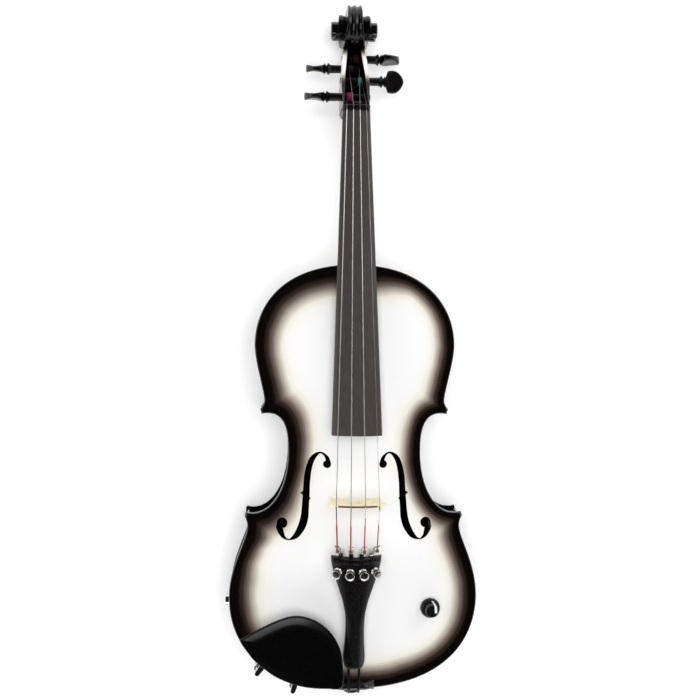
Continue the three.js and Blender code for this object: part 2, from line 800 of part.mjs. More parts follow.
// Bass bar and sound post
const barStart = bassBarStart;
const barShares = [[0, 0.25], [0.2, 0.75], [0.5, 1], [0.8, 0.75], [1, 0.25]];
const barLine = barShares.map(([along, deep]) => {
  const y = barStart + along * bassBarLength;
  return [y, bellyInner(bassBarOffset, y) - deep * bassBarDepth];
});
const barSide = [...barLine, [barStart + bassBarLength, bellyTop], [barStart, bellyTop]];
const bassBar = sideways(barSide, -bassBarOffset - bassBarWidth / 2, -bassBarOffset + bassBarWidth / 2);
place('bass_bar', cut(bassBar, ceilingAndOver), spruce);
const postAt = bridgeAt - soundPostBehindBridge;
const post = roundCut([soundPostOffset, postAt], soundPostRadius, 0, bellyTop, eyeSides);
place('sound_post', cut(post, ceilingAndOver, backAndUnder), spruce);

// Neck: a handle of half-round sections that swells into the heel
const neckSectionSteps = 8;

function neckRing(y, topHalf, footHalf, top, foot, power) {
  const ring = [];
  for (let i = 0; i <= neckSectionSteps; i += 1) {
    const angle = (Math.PI * i) / neckSectionSteps;
    const down = Math.sin(angle) ** (2 / power);
    const side = Math.sign(Math.cos(angle)) * Math.abs(Math.cos(angle)) ** (2 / power);
    const half = topHalf + (footHalf - topHalf) * down;
    ring.push(new THREE.Vector3(side * half, y, top - (top - foot) * down));
  }
  return ring;
}

const nutRear = nutAt + nutThickness + seatGap;
const handleShares = [0, 0.3, 0.62, 0.8];
const heelStart = bodyLength + heelLength + 13;
const heelFoot = ribFoot + seatGap;
const heelShares = [[1.5, 0.1], [1.12, 0.28], [0.9, 0.5], [0.78, 0.75], [0.7, 1], [0, 1]];

function neckRings() {
  const rings = [];
  const half = (y) => boardHalf(y) - neckEdgeInset;
  handleShares.forEach((share) => {
    const y = nutRear + share * (heelStart - nutRear);
    const depth = neckDepth + share * (neckDepthAtHeel - neckDepth);
    rings.push(neckRing(y, half(Math.min(y, nutAt)), half(Math.min(y, nutAt)) * 0.97, neckTopAt(y), neckTopAt(y) - depth, 2.1));
  });
  heelShares.forEach(([out, deep]) => {
    const y = bodyLength + seatGap + out * heelLength;
    const depth = neckDepthAtHeel + deep * (neckTopAt(y) - heelFoot - neckDepthAtHeel);
    const footHalf = half(y) + deep * (buttonRadius * heelHalfShare - half(y));
    rings.push(neckRing(y, half(y), footHalf, neckTopAt(y), neckTopAt(y) - depth, 2.1 + 2.2 * deep));
  });
  return rings;
}

// Head: sections from the chin to the scroll, each with a fluted back, then the spiral
const bevelShares = [[-1, 1, 0], [-0.86, 0, 0], [-0.45, 0, 1], [0, 0, 0], [0.45, 0, 1], [0.86, 0, 0], [1, 1, 0]];

// back and front are points in Y and Z, backHalf and frontHalf the half widths there
function headRing(back, front, backHalf, frontHalf, flute) {
  const depth = Math.hypot(front[0] - back[0], front[1] - back[1]);
  const ring = [new THREE.Vector3(frontHalf, ...front), new THREE.Vector3(-frontHalf, ...front)];
  bevelShares.forEach(([across, bevel, groove]) => {
    const inward = (bevel * scrollBevel + groove * flute) / depth;
    const y = back[0] + (front[0] - back[0]) * inward;
    const z = back[1] + (front[1] - back[1]) * inward;
    ring.push(new THREE.Vector3(across * backHalf, y, z));
  });
  return ring;
}

const headPoint = ([reach, drop]) => [nutAt + reach * eyeReach, boardTopAtNut + drop * eyeReach];

// reach and drop of the back, reach and drop of the front, half widths of both, flute depth
const headShares = [
  [[-0.055, -0.215], [0.02, -0.105], 0.3, 0.5, 0],
  [[-0.045, -0.278], [0.04, -0.108], 0.54, 0.53, 0.2],
  [[0.012, -0.337], [0.079, -0.113], 0.63, 0.54, 0.7],
  [[0.03, -0.346], [0.084, -0.03], 0.635, 0.54, 0.8],
  [[0.152, -0.415], [0.19, -0.102], 0.64, 0.57, 1],
  [[0.379, -0.549], [0.4, -0.222], 0.615, 0.585, 1],
  [[0.6, -0.67], [0.6, -0.335], 0.54, 0.535, 1],
  [[0.76, -0.752], [0.76, -0.428], 0.465, 0.46, 1],
  [[0.85, -0.776], [0.85, -0.48], 0.43, 0.44, 1],
];
const scrollStart = -Math.PI / 2;
const scrollTurn = Math.PI / 9;
const flutedSteps = 14;
const plainSteps = 19;

// half width of the scroll's ridge at each quarter turn from its back
const ridgeShares = [0.4, 0.275, 0.3, 0.4, 0.53, 0.64, 0.76, 0.88, 0.96, 1];

function ridgeHalf(angle) {
  const quarter = Math.min(Math.max((angle - scrollStart) / (Math.PI / 2), 0), ridgeShares.length - 1.001);
  const from = Math.floor(quarter);
  const share = ridgeShares[from] + (ridgeShares[from + 1] - ridgeShares[from]) * (quarter - from);
  return eyeHalf * share;
}

const scrollCoreShare = 1.25;
const scrollRing = (angle, flute) =>
  headRing(spiralPoint(angle), [eyeAlong, eyeLevel], ridgeHalf(angle),
    Math.min(ridgeHalf(angle) * scrollCoreShare, eyeHalf), flute);

function scrollStretch(from, steps, fluteAt) {
  const rings = [];
  for (let i = 0; i <= steps; i += 1) {
    const angle = from + i * scrollTurn;
    rings.push(scrollRing(angle, fluteAt(i / steps)));
  }
  return rings;
}

function plainScrollStretch(from, steps) {
  const rings = [];
  for (let i = 0; i <= steps; i += 1) {
    const angle = from + i * scrollTurn;
    const half = ridgeHalf(angle);
    const core = Math.min(half * scrollCoreShare, eyeHalf);
    const outer = spiralPoint(angle);
    const side = spiralPoint(angle, scrollBevel);
    rings.push(vectors([[core, eyeAlong, eyeLevel], [-core, eyeAlong, eyeLevel],
      [-half, ...side], [-half + scrollBevel, ...outer], [half - scrollBevel, ...outer], [half, ...side]]));
  }
  return rings;
}

const ringSet = headShares.map(([back, front, backHalf, frontHalf, flute]) =>
  headRing(headPoint(back), headPoint(front), backHalf * eyeHalf, frontHalf * eyeHalf, flute * fluteDepth));
ringSet.push(scrollRing(scrollStart, fluteDepth));

const scrollPieces = [];
const halfFluted = flutedSteps / 2;
for (const part of [0, 1]) {
  const from = scrollStart + part * halfFluted * scrollTurn;
  scrollPieces.push(loft(scrollStretch(from, halfFluted, (share) => fluteDepth * (part ? 1 - share : 1))));
}
const plainFrom = scrollStart + flutedSteps * scrollTurn;
const plainPart = 6;
for (let done = 0; done < plainSteps; done += plainPart) {
  const steps = Math.min(plainPart, plainSteps - done);
  scrollPieces.push(loft(plainScrollStretch(plainFrom + done * scrollTurn, steps)));
}
const eyeSidesCount = 14;
scrollPieces.push(rod(eyeRadius, 2 * eyeHalf, eyeSidesCount, [-eyeHalf, eyeAlong, eyeLevel], [1, 0, 0]));

// Pegbox hollow: between the cheeks, above the floor, closed by the throat
const hollowStepShares = [0.03, 0.22, 0.45, 0.7, 0.93];
const hollowFlare = 0.9;
const hollowFootShare = 0.9;

function pegboxHollow() {
  const stations = headShares.slice(3);
  const curveOf = (pick) => new THREE.SplineCurve(stations.map((row, i) => new THREE.Vector2(...pick(row, i))));
  const backLine = curveOf(([back]) => headPoint(back));
  const frontLine = curveOf(([, front]) => headPoint(front));
  const halfLine = curveOf(([, , half], i) => [i, half * eyeHalf]);
  const rings = hollowStepShares.map((t, i) => {
    const back = backLine.getPoint(t);
    const front = frontLine.getPoint(t);
    const half = halfLine.getPoint(t).y - cheekThickness;
    const frontHalf = half + (i < 2 ? hollowFlare : 0);
    const run = front.clone().sub(back).normalize();
    const deep = i === hollowStepShares.length - 1 ? 2 * pegboxFloor : pegboxFloor;
    const foot = back.clone().addScaledVector(run, deep);
    const over = front.clone().addScaledVector(run, cutOverrun);
    const footHalf = half * hollowFootShare;
    return vectors([[frontHalf, over.x, over.y], [-frontHalf, over.x, over.y],
      [-footHalf, foot.x, foot.y], [footHalf, foot.x, foot.y]]);
  });
  return loft(rings);
}

// Pegs: reach from the nut and drop below the board top of each axis, and the side of its head
const pegs = [
  { name: 'low', reach: 0.207, drop: -0.283, side: -1 },
  { name: 'third', reach: 0.562, drop: -0.478, side: -1 },
  { name: 'second', reach: 0.694, drop: -0.548, side: 1 },
  { name: 'high', reach: 0.41, drop: -0.388, side: 1 },
];

const cheekAt = (reach) => {
  const line = new THREE.SplineCurve(headShares.slice(3).map(([[along], , backHalf]) =>
    new THREE.Vector2(along, backHalf * eyeHalf)));
  const spots = line.getPoints(60);
  return spots.reduce((best, p) => (Math.abs(p.x - reach) < Math.abs(best.x - reach) ? p : best)).y;
};

pegs.forEach((peg) => {
  [peg.y, peg.z] = headPoint([peg.reach, peg.drop]);
  peg.cheek = cheekAt(peg.reach);
  peg.inner = peg.cheek - cheekThickness;
});

const pegSides = 10;
const pegRadiusAt = (peg, x) => pegRadius - pegTaper * (peg.cheek + pegShankOut - x * peg.side);

function pegShank(peg, clearance, from, to) {
  const length = to - from;
  return turned([
    [0, 0],
    [pegRadiusAt(peg, from * peg.side) + clearance, 0],
    [pegRadiusAt(peg, to * peg.side) + clearance, length],
    [0, length],
  ], pegSides, [from * peg.side, peg.y, peg.z], [peg.side, 0, 0]);
}

const headBody = joined(loft(neckRings()), loft(ringSet), ...scrollPieces, rootSolid(0));
const pegCuts = pegs.map((peg) => pegShank(peg, seatGap, -peg.cheek - cutOverrun, peg.cheek + cutOverrun));
place('neck_and_scroll', largest(cut(headBody, pegboxHollow(), ...pegCuts, restCut)), blackLacquer);

// Fingerboard: round on top, flat on the neck and hollowed where it stands free over the belly
const boardTopSteps = 8;
const boardFootSteps = 6;
const boardStations = [0, 0.2, 0.45, 0.478, 0.478 + boardHollowRun / boardLength, 0.75, 1];

function boardRing(share) {
  const y = nutAt - share * boardLength;
  const half = boardHalf(y);
  const top = boardTopAt(y);
  const foot = boardFootAt(y);
  const deep = share >= boardStations[4] ? boardHollow : 0;
  const ring = [];
  for (let i = 0; i <= boardTopSteps; i += 1) {
    const x = half * ((2 * i) / boardTopSteps - 1);
    ring.push(new THREE.Vector3(x, y, top - boardSag(Math.abs(x))));
  }
  for (let i = 0; i <= boardFootSteps; i += 1) {
    const across = 1 - (2 * i) / boardFootSteps;
    const inner = 0.82;
    const rise = Math.max(0, 1 - (across / inner) ** 2) * deep;
    ring.push(new THREE.Vector3(across * half, y, foot + rise));
  }
  return ring;
}
place('fingerboard', loft(boardStations.map(boardRing)), ebony);

// Nut
const nutHalf = boardNutHalf;
const nutSteps = 8;
const nutCrown = Array.from({ length: nutSteps + 1 }, (_, i) => {
  const x = nutHalf * ((2 * i) / nutSteps - 1);
  return [x, boardTopAtNut + nutOverBoard - boardSag(Math.abs(x))];
});
const nutFoot = neckTopAt(nutAt) + 1.5 * seatGap;
const nutBody = upright([[nutHalf, nutFoot], [-nutHalf, nutFoot], ...nutCrown], nutAt + seatGap, nutAt + nutThickness);
place('nut', nutBody, ebony);

// Saddle
const saddleTop = bellyEdge + saddleOverEdge;
const saddleSide = [
  [0, ribTop], [saddleDepth, ribTop], [saddleDepth, bellyEdge + saddleRound],
  [saddleDepth - saddleRound, saddleTop - saddleRound / 2], [saddleDepth / 2, saddleTop],
  [saddleRound, saddleTop], [saddleRound / 3, saddleTop - saddleRound / 3], [0, saddleTop - saddleRound],
];
const saddleEnds = [
  [-saddleHalf, ribTop], [saddleHalf, ribTop], [saddleHalf, bellyEdge + saddleRound / 2],
  [saddleHalf / 2, saddleTop], [-saddleHalf / 2, saddleTop], [-saddleHalf, bellyEdge + saddleRound / 2],
];
const saddleBody = sideways(saddleSide, -saddleHalf, saddleHalf)
  .intersect(upright(saddleEnds, -cutOverrun, saddleDepth + cutOverrun));
place('saddle', saddleBody, ebony);

// Pegs: tapered shank with a string hole, turned collar and a heart-shaped thumb piece
const pegHeadShares = [
  [0, 0.3], [0.06, 0.36], [0.13, 0.66], [0.22, 0.88], [0.36, 1], [0.55, 0.99], [0.73, 0.86],
  [0.88, 0.58], [0.97, 0.28], [1, 0],
];
const pegEdgeShares = [[0, 0.5], [0.1, 1], [0.3, 0.78], [0.55, 0.6], [0.8, 0.72], [1, 0.8]];
const pegCollarShares = [[0.8, 0], [1, 0.16], [1, 0.34], [0.76, 0.5], [1, 0.66], [1, 0.84], [0.7, 1]];

// Both outlines of the thumb piece are drawn along X from the collar outwards
function pegHead(start) {
  const run = ([along]) => start + along * pegHeadLength;
  const face = pegHeadShares.map((pair) => [run(pair), pair[1] * pegHeadHalf]);
  const edge = pegEdgeShares.map((pair) => [run(pair), (pair[1] * pegHeadThickness) / 2]);
  const both = (points) => [...points, ...points.filter(([, w]) => w > 0).reverse().map(([x, w]) => [x, -w])];
  return prism(both(face), -pegHeadThickness, pegHeadThickness)
    .intersect(upright(both(edge), -2 * pegHeadHalf, 2 * pegHeadHalf));
}

const pegThumbTurn = { low: 82, third: 76, second: 86, high: 6 };
const windingRadius = (peg, radius, x) => pegRadiusAt(peg, x) + seatGap + radius;

function pegSolid(peg, radius) {
  const collarFrom = peg.cheek + pegShankOut - pegCollarLength;
  const shank = turned([
    [0, 0],
    [pegRadiusAt(peg, -(peg.cheek + pegTailOut) * peg.side) - 0.4 * seatGap, 0],
    [pegRadiusAt(peg, -(peg.cheek + pegTailOut) * peg.side), seatGap],
    [pegRadiusAt(peg, collarFrom * peg.side), peg.cheek * 2 + pegShankOut + pegTailOut - pegCollarLength],
    [0, peg.cheek * 2 + pegShankOut + pegTailOut - pegCollarLength],
  ], pegSides, [-(peg.cheek + pegTailOut), 0, 0], [1, 0, 0]);
  const collar = turned([
    [0, -seatGap],
    ...pegCollarShares.map(([wide, along]) => [wide * pegCollarRadius, along * pegCollarLength]),
    [0, pegCollarLength],
  ], pegSides, [collarFrom, 0, 0], [1, 0, 0]);
  const thumb = pegHead(collarFrom + pegCollarLength - seatGap).rotate([pegThumbTurn[peg.name], 0, 0]);
  const whole = joined(shank, collar, thumb);
  const sided = peg.side > 0 ? whole : whole.rotate([0, 0, 180]);
  const hole = rod(radius + seatGap + pegHoleSpare, 3 * pegRadius, 6, [peg.holeAt, -1.5 * pegRadius, 0], [0, 1, 0]);
  return cut(sided, hole.rotate([THREE.MathUtils.radToDeg(peg.holeAngle), 0, 0]));
}

// Strings, lowest first: place in the spread, half thickness, peg, and where the turns begin as a
// share of the clear half width between the cheeks
const strings = [
  { name: 'string_low', place: -1.5, radius: lowRadius, peg: pegs[0], startShare: 0.74 },
  { name: 'string_third', place: -0.5, radius: thirdRadius, peg: pegs[1], startShare: 0.64 },
  { name: 'string_second', place: 0.5, radius: secondRadius, peg: pegs[2], startShare: 0.72 },
  { name: 'string_high', place: 1.5, radius: highRadius, peg: pegs[3], startShare: 0.7 },
];

// The string arrives at the outermost turn, the turns run inwards along the peg, and the end goes
// straight into the hole in the shank
function windingPoints(string) {
  const { peg, radius } = string;
  const pitch = 2 * radius + windingGap;
  const from = string.startAcross;
  const arrive = string.arriveAngle;
  const points = [];
  const count = windingTurns * windingSteps;
  for (let i = 0; i <= count; i += 1) {
    const across = from - (peg.side * pitch * i) / windingSteps;
    const reach = windingRadius(peg, radius, across);
    const angle = arrive - (i / windingSteps) * 2 * Math.PI;
    points.push(new THREE.Vector3(across, peg.y + reach * Math.cos(angle), peg.z + reach * Math.sin(angle)));
  }
  const last = points.at(-1);
  const inward = new THREE.Vector3(0, peg.y - last.y, peg.z - last.z).normalize();
  points.push(last.clone().addScaledVector(inward, 3 * radius + 2 * seatGap));
  return points;
}

// Least clear distance of a path to itself, measured between steps half a turn apart or more
function selfGap(points, radius) {
  let least = Infinity;
  for (let i = 0; i < points.length; i += 1) {
    for (let j = i + windingSteps / 2; j < points.length; j += 1) {
      least = Math.min(least, points[i].distanceTo(points[j]) - 2 * radius);
    }
  }
  return least;
}

const crownAt = (x, radius) => radius - Math.sqrt(radius ** 2 - x ** 2);
const bridgeFoot = bellyOuter(0, bridgeAt);
const bridgeCrest = bridgeFoot + bridgeHeight;

// Tailpiece frame: it leans down towards the tail and its front stands over the belly
const tail = new THREE.Group();
const tailFall = (bellyTop + tailTop - (saddleTop + tailEndTop)) / tailLength;
const tailLean = Math.atan(tailFall);
tail.position.set(0, tailFront, bellyTop + tailTop);
tail.rotation.x = tailLean;
violin.add(tail);

// A tuner's own frame has its origin on the tailpiece's top with Z square to it
function tunerFrame(placeShare) {
  const swing = new THREE.Group();
  swing.position.set(0, -tunerBehindFront, -tailRadius);
  swing.rotation.y = placeShare * tunerSpread;
  tail.add(swing);
  const frame = new THREE.Group();
  frame.position.set(0, 0, tailRadius);
  swing.add(frame);
  return frame;
}
violin.updateMatrixWorld(true);
const toViolin = violin.matrixWorld.clone().invert();

const hookTop = leverHookRise + leverThickness;
const hookAhead = tunerPinAhead + leverHookAhead;
const ballPlace = (frame) => {
  frame.updateWorldMatrix(true, false);
  const own = new THREE.Vector3(0, hookAhead, hookTop + seatGap + ballRadius - leverThickness);
  return own.applyMatrix4(frame.matrixWorld).applyMatrix4(toViolin);
};

const tunerFrames = strings.map((string) => tunerFrame(string.place));

strings.forEach((string, i) => {
  const { peg, radius } = string;
  const atBridge = string.place * bridgeSpread;
  const atNut = string.place * nutSpread;
  const crest = new THREE.Vector3(atBridge, bridgeAt, bridgeCrest - crownAt(atBridge, bridgeRadius) + radius + seatGap);
  const nutFace = boardTopAtNut + nutOverBoard - boardSag(Math.abs(atNut)) + radius + seatGap;
  const nutFront = new THREE.Vector3(atNut, nutAt, nutFace);
  const nutBack = new THREE.Vector3(atNut, nutAt + nutThickness + stringLift, nutFace);
  const reach = windingRadius(peg, radius, 0);
  const toPeg = [peg.y - nutBack.y, peg.z - nutBack.z];
  const apart = Math.hypot(...toPeg);
  const bearing = Math.atan2(toPeg[1], toPeg[0]);
  string.arriveAngle = bearing + Math.PI - Math.acos(reach / apart);
  string.startAcross = peg.side * string.startShare * peg.inner;
  const winding = windingPoints(string);
  const end = winding.at(-1);
  peg.holeAt = end.x;
  peg.holeAngle = Math.atan2(end.z - peg.z, end.y - peg.y);
  peg.stringRadius = radius;
  const approach = Array.from({ length: windingSteps }, (_, step) =>
    nutBack.clone().lerp(winding[0], step / windingSteps));
  const least = selfGap([...approach, ...winding], radius);
  console.log(`${string.name}: least gap of the string to itself ${least.toFixed(2)} mm`);
  const ball = ballPlace(tunerFrames[i]);
  const ahead = crest.clone().sub(ball).normalize();
  string.ball = ball;
  string.ahead = ahead;
  const start = ball.clone().addScaledVector(ahead, ballRadius * 0.6);
  const path = [start, crest, nutFront, nutBack, ...winding];
  const line = solid(cordAlong(path, radius, windingSides));
  const bead = rod(ballRadius, 2 * ballHalf, 8, [ball.x - ballHalf, ball.y, ball.z], [1, 0, 0]);
  place(string.name, joined(line, bead), i === 3 ? steel : nickel);
});

pegs.forEach((peg) => {
  const mount = new THREE.Group();
  mount.position.set(0, peg.y, peg.z);
  violin.add(mount);
  place(`peg_${peg.name}`, pegSolid(peg, peg.stringRadius), ebony, mount);
});

// Bridge: half outline in shares of its half width and height, with waist cuts and a heart
const bridgeShares = [
  [1, 0.74], [0.93, 0.6], [0.82, 0.55], [0.62, 0.53], [0.47, 0.44], [0.58, 0.36], [0.78, 0.35],
  [0.84, 0.3], [0.76, 0.19], [0.8, 0.12], [0.888, 0.05], [0.888, -0.1], [0.4, -0.1], [0.41, 0.06],
  [0.54, 0.15], [0.42, 0.25], [0.2, 0.315], [0, 0.33],
];
const heartShares = [[0, 0.54], [0.05, 0.49], [0.14, 0.52], [0.16, 0.59], [0.09, 0.66], [0.03, 0.63], [0, 0.7]];
const crestSteps = 5;
const bridgeCrown = Array.from({ length: crestSteps }, (_, i) => {
  const x = (bridgeHalf * i) / crestSteps;
  return [x, bridgeCrest - crownAt(x, bridgeRadius)];
});
const onBridge = ([across, up]) => [across * bridgeHalf, bridgeFoot + up * bridgeHeight];
const bridgeRight = [...bridgeCrown, ...bridgeShares.map(onBridge)];
const bridgeWhole = [...bridgeRight, ...mirrored(bridgeRight).slice(1, -1)];
const heartRight = heartShares.map(onBridge);
const heartWhole = [...heartRight, ...mirrored(heartRight).slice(1, -1)];
const bridgeBack = bridgeAt - bridgeFootThickness / 2;
const bridgeSection = [
  [bridgeBack, 0], [bridgeBack + bridgeFootThickness, 0], [bridgeBack + bridgeFootThickness, bridgeFoot],
  [bridgeAt + bridgeTopThickness / 2, bridgeCrest + cutOverrun], [bridgeAt - bridgeTopThickness / 2, bridgeCrest + cutOverrun],
  [bridgeBack, bridgeFoot + bridgeHeight / 3],
];
const bridgeBody = cut(
  upright(bridgeWhole, bridgeBack - cutOverrun, bridgeBack + bridgeFootThickness + cutOverrun)
    .intersect(sideways(bridgeSection, -bridgeHalf, bridgeHalf)),
  upright(heartWhole, bridgeBack - cutOverrun, bridgeBack + bridgeFootThickness + cutOverrun),
  bellyAndUnder,
);
place('bridge', bridgeBody, maple);

// Tailpiece, in its own frame: Y runs back from its front edge, Z is zero on its top
const tailWidthShares = [
  [0, 1], [0.05, 0.985], [0.16, 0.87], [0.28, 0.68], [0.4, 0.5], [0.52, 0.395], [0.64, 0.375],
  [0.78, 0.4], [0.9, 0.44], [0.97, 0.4], [1, 0.26],
];
const tailTopSteps = 8;
const tailUnderShares = [1, 0.7, 0.35, 0, -0.35, -0.7, -1];
const tailArchShare = 0.7;
const tailArchRunShare = 0.62;
const tailEdgeShare = 0.72;

function tailRing([back, wide]) {
  const half = tailFrontHalf * wide;
  const radius = tailRadius * (1 - tailArchShare * Math.min(back / tailArchRunShare, 1));
  const ring = [];
  for (let i = 0; i <= tailTopSteps; i += 1) {
    const x = half * ((2 * i) / tailTopSteps - 1);
    ring.push(new THREE.Vector3(x, -back * tailLength, -crownAt(Math.abs(x), radius)));
  }
  tailUnderShares.forEach((across) => {
    const x = half * across;
    const deep = tailDepth * (Math.abs(across) === 1 ? tailEdgeShare : 1);
    ring.push(new THREE.Vector3(x, -back * tailLength, -crownAt(Math.abs(x), radius) - deep));
  });
  return ring;
}

const swungPlace = (share) => share * tunerSpread;
function radialHole(share, radius, back) {
  const hole = rod(radius, 4 * tailDepth, eyeSides, [0, -back, -2 * tailDepth], [0, 0, 1]);
  const raised = hole.translate([0, 0, tailRadius]);
  return raised.rotate([0, THREE.MathUtils.radToDeg(swungPlace(share)), 0]).translate([0, 0, -tailRadius]);
}

function radialSlot(share, half, from, to) {
  const slot = block([-half, -to, -2 * tailDepth], [half, -from, 2 * tailDepth]).translate([0, 0, tailRadius]);
  return slot.rotate([0, THREE.MathUtils.radToDeg(swungPlace(share)), 0]).translate([0, 0, -tailRadius]);
}

const fretSteps = 8;
const fretRings = [0, 1].flatMap((side) => [side]).map((side) => {
  const y = -tailFretInset - side * tailFretInset / 2;
  const half = tailFrontHalf * 0.93;
  const ring = [];
  for (let i = 0; i <= fretSteps; i += 1) {
    const x = half * ((2 * i) / fretSteps - 1);
    ring.push(new THREE.Vector3(x, y, tailFretRise - crownAt(Math.abs(x), tailRadius)));
  }
  for (let i = fretSteps; i >= 0; i -= 1) {
    const x = half * ((2 * i) / fretSteps - 1);
    ring.push(new THREE.Vector3(x, y, -tailDepth / 2 - crownAt(Math.abs(x), tailRadius)));
  }
  return ring;
});
const loopHoles = [-1, 1].map((side) =>
  rod(loopRadius + seatGap, loopHoleRun + cutOverrun, 8,
    [side * loopHalf, -tailLength - cutOverrun, -tailDepth / 2 - seatGap], [0, 1, 0]));
const tailBody = cut(
  joined(loft(tailWidthShares.map(tailRing)), loft(fretRings)),
  ...strings.map(({ place: share }) => radialHole(share, tunerPostRadius + seatGap, tunerBehindFront)),
  ...strings.map(({ place: share }) => radialSlot(share, leverHalf / 2, tailFretInset * 2, tunerBehindFront)),
  ...loopHoles,
);
place('tailpiece', tailBody, ebony, tail);

// Tail loop: from the two holes of the tailpiece over the saddle and round the end button's pin
const tailPoint = new THREE.Vector3();
function fromTail(x, y, z) {
  tail.updateWorldMatrix(true, false);
  return tailPoint.set(x, y, z).applyMatrix4(tail.matrixWorld).applyMatrix4(toViolin).toArray();
}
const loopOver = saddleTop + loopRadius + seatGap;
const loopOut = -loopRadius - 2 * seatGap;
const loopHang = buttonPinRadius + loopRadius + seatGap;
const loopHalfRoute = [
  fromTail(loopHalf, -tailLength + loopHoleRun - 1, -tailDepth / 2 - seatGap),
  fromTail(loopHalf, -tailLength - 1, -tailDepth / 2 - seatGap),
  [loopHalf, saddleDepth * 0.75, loopOver + 0.3],
  [loopHalf, saddleDepth * 0.3, loopOver - 0.1],
  [loopHalf + 0.1, loopOut - 0.4, saddleTop - saddleRound],
  [loopHalf + 0.3, loopOut - 0.6, ribTop],
  [loopHang, loopOut - 0.9, midRib + buttonPinRadius],
  [loopHang * 0.98, loopOut - 1, midRib],
  [loopHang * 0.7, loopOut - 1, midRib - loopHang * 0.72],
];
const loopMiddle = [0, loopOut - 1, midRib - loopHang];
const loopRoute = [...loopHalfRoute, loopMiddle, ...mirrored(loopHalfRoute)];
const loopSteps = 32;
place('tail_loop', cordAlong(smoothPath(loopRoute, loopSteps), loopRadius, 6), nylon);

// End button
const buttonStart = loopOut - 1 - loopRadius - seatGap;
const buttonProfile = [
  [0, -buttonPinLength], [buttonPinRadius * 0.86, -buttonPinLength], [buttonPinRadius, -seatGap],
  [buttonPinRadius, -buttonStart], [buttonHeadRadius * 0.9, -buttonStart + 0.4],
  [buttonHeadRadius, -buttonStart + 1.3], [buttonHeadRadius * 0.92, buttonHeadOut - 1.2],
  [buttonHeadRadius * 0.6, buttonHeadOut], [0, buttonHeadOut + 0.2],
];
place('end_button', turned(buttonProfile, 16, [0, 0, midRib], [0, -1, 0]), ebony);

// Fine tuners, each in its own frame on the tailpiece
const underTail = -tailDepth - 2 * seatGap;
const pinLevel = underTail - tunerPlateThickness - tunerEarDepth / 2 - 0.4;
const pinAt = tunerPinAhead;
const armLevel = underTail - tunerPlateThickness - seatGap;

function tunerBracket() {
  const plate = block([-tunerPlateHalf, -tunerPlateHalf, underTail - tunerPlateThickness],
    [tunerPlateHalf, pinAt + 1.2, underTail]);
  const ears = [-1, 1].map((side) => {
    const inner = side > 0 ? leverHalf + seatGap : -leverHalf - seatGap - tunerEarThickness;
    return block([inner, pinAt - 2.4, underTail - tunerPlateThickness - tunerEarDepth],
      [inner + tunerEarThickness, pinAt + 2, underTail - tunerPlateThickness / 2]);
  });
  const span = 2 * (leverHalf + seatGap + tunerEarThickness / 2);
  const pin = rod(tunerPinRadius, span, 6, [-span / 2, pinAt, pinLevel], [1, 0, 0]);
  const postTop = seatGap + tunerNutHeight;
  const stem = rod(tunerPostRadius, postTop - underTail + tunerPlateThickness / 2, 10,
    [0, 0, underTail - tunerPlateThickness / 2], [0, 0, 1]);
  const ring = turned([[0, seatGap], [tunerNutRadius, seatGap], [tunerNutRadius, seatGap + tunerNutHeight * 0.6],
    [tunerNutRadius * 0.85, postTop], [0, postTop]], 10);
  const bore = rod(tunerPostBore, 4 * tailDepth, 8, [0, 0, -2 * tailDepth], [0, 0, 1]);
  return cut(joined(plate, ...ears, pin, stem, ring), bore);
}

// The lever's side outline: rear arm under the screw, knee at the pin, hook in front of the edge
function tunerLever() {
  const side = [
    [-2.6, armLevel - leverThickness], [-2.6, armLevel], [pinAt - 1.5, armLevel],
    [pinAt + 1, armLevel], [hookAhead - 5.2, underTail], [hookAhead - 3.4, leverHookRise - 1.6],
    [hookAhead - 2.2, leverHookRise - 0.2], [hookAhead + 1.4, leverHookRise - 0.2],
    [hookAhead + 2.4, leverHookRise + 1], [hookAhead + 3, leverHookRise + 3.2],
    [hookAhead + 3.9, leverHookRise + 3], [hookAhead + 3.2, leverHookRise],
    [hookAhead + 1.9, leverHookRise - 1.6], [hookAhead - 0.4, leverHookRise - 2.6],
    [hookAhead - 2, underTail - 2.2], [pinAt + 2.6, pinLevel - 2], [pinAt, pinLevel - 2.2],
    [pinAt - 2, pinLevel - 0.6], [pinAt - 3.4, armLevel - leverThickness],
  ];
  const body = sideways(side, -leverHalf, leverHalf);
  const slot = block([-0.8, hookAhead - 0.6, leverHookRise - 4], [0.8, hookAhead + 8, leverHookRise + 8]);
  const pinHole = rod(tunerPinRadius + seatGap, 4 * leverHalf, 8, [-2 * leverHalf, pinAt, pinLevel], [1, 0, 0]);
  return cut(body, slot, pinHole);
}

function tunerScrew() {
  const foot = armLevel + seatGap;
  const headFoot = seatGap + tunerNutHeight + tunerTravel + tunerHeadSpare;
  const profile = [
    [0, foot], [tunerScrewRadius * 0.6, foot], [tunerScrewRadius, foot + 0.8], [tunerScrewRadius, headFoot],
    [tunerHeadRadius * 0.8, headFoot], [tunerHeadRadius, headFoot + 0.5],
    [tunerHeadRadius, headFoot + tunerHeadHeight - 0.6], [tunerHeadRadius * 0.82, headFoot + tunerHeadHeight],
    [0, headFoot + tunerHeadHeight],
  ];
  return turned(profile, 10);
}

strings.forEach((string, i) => {
  const own = string.name.replace('string_', '');
  place(`tuner_bracket_${own}`, tunerBracket(), nickel, tunerFrames[i]);
  place(`tuner_lever_${own}`, tunerLever(), nickel, tunerFrames[i]);
  place(`tuner_screw_${own}`, tunerScrew(), nickel, tunerFrames[i]);
});

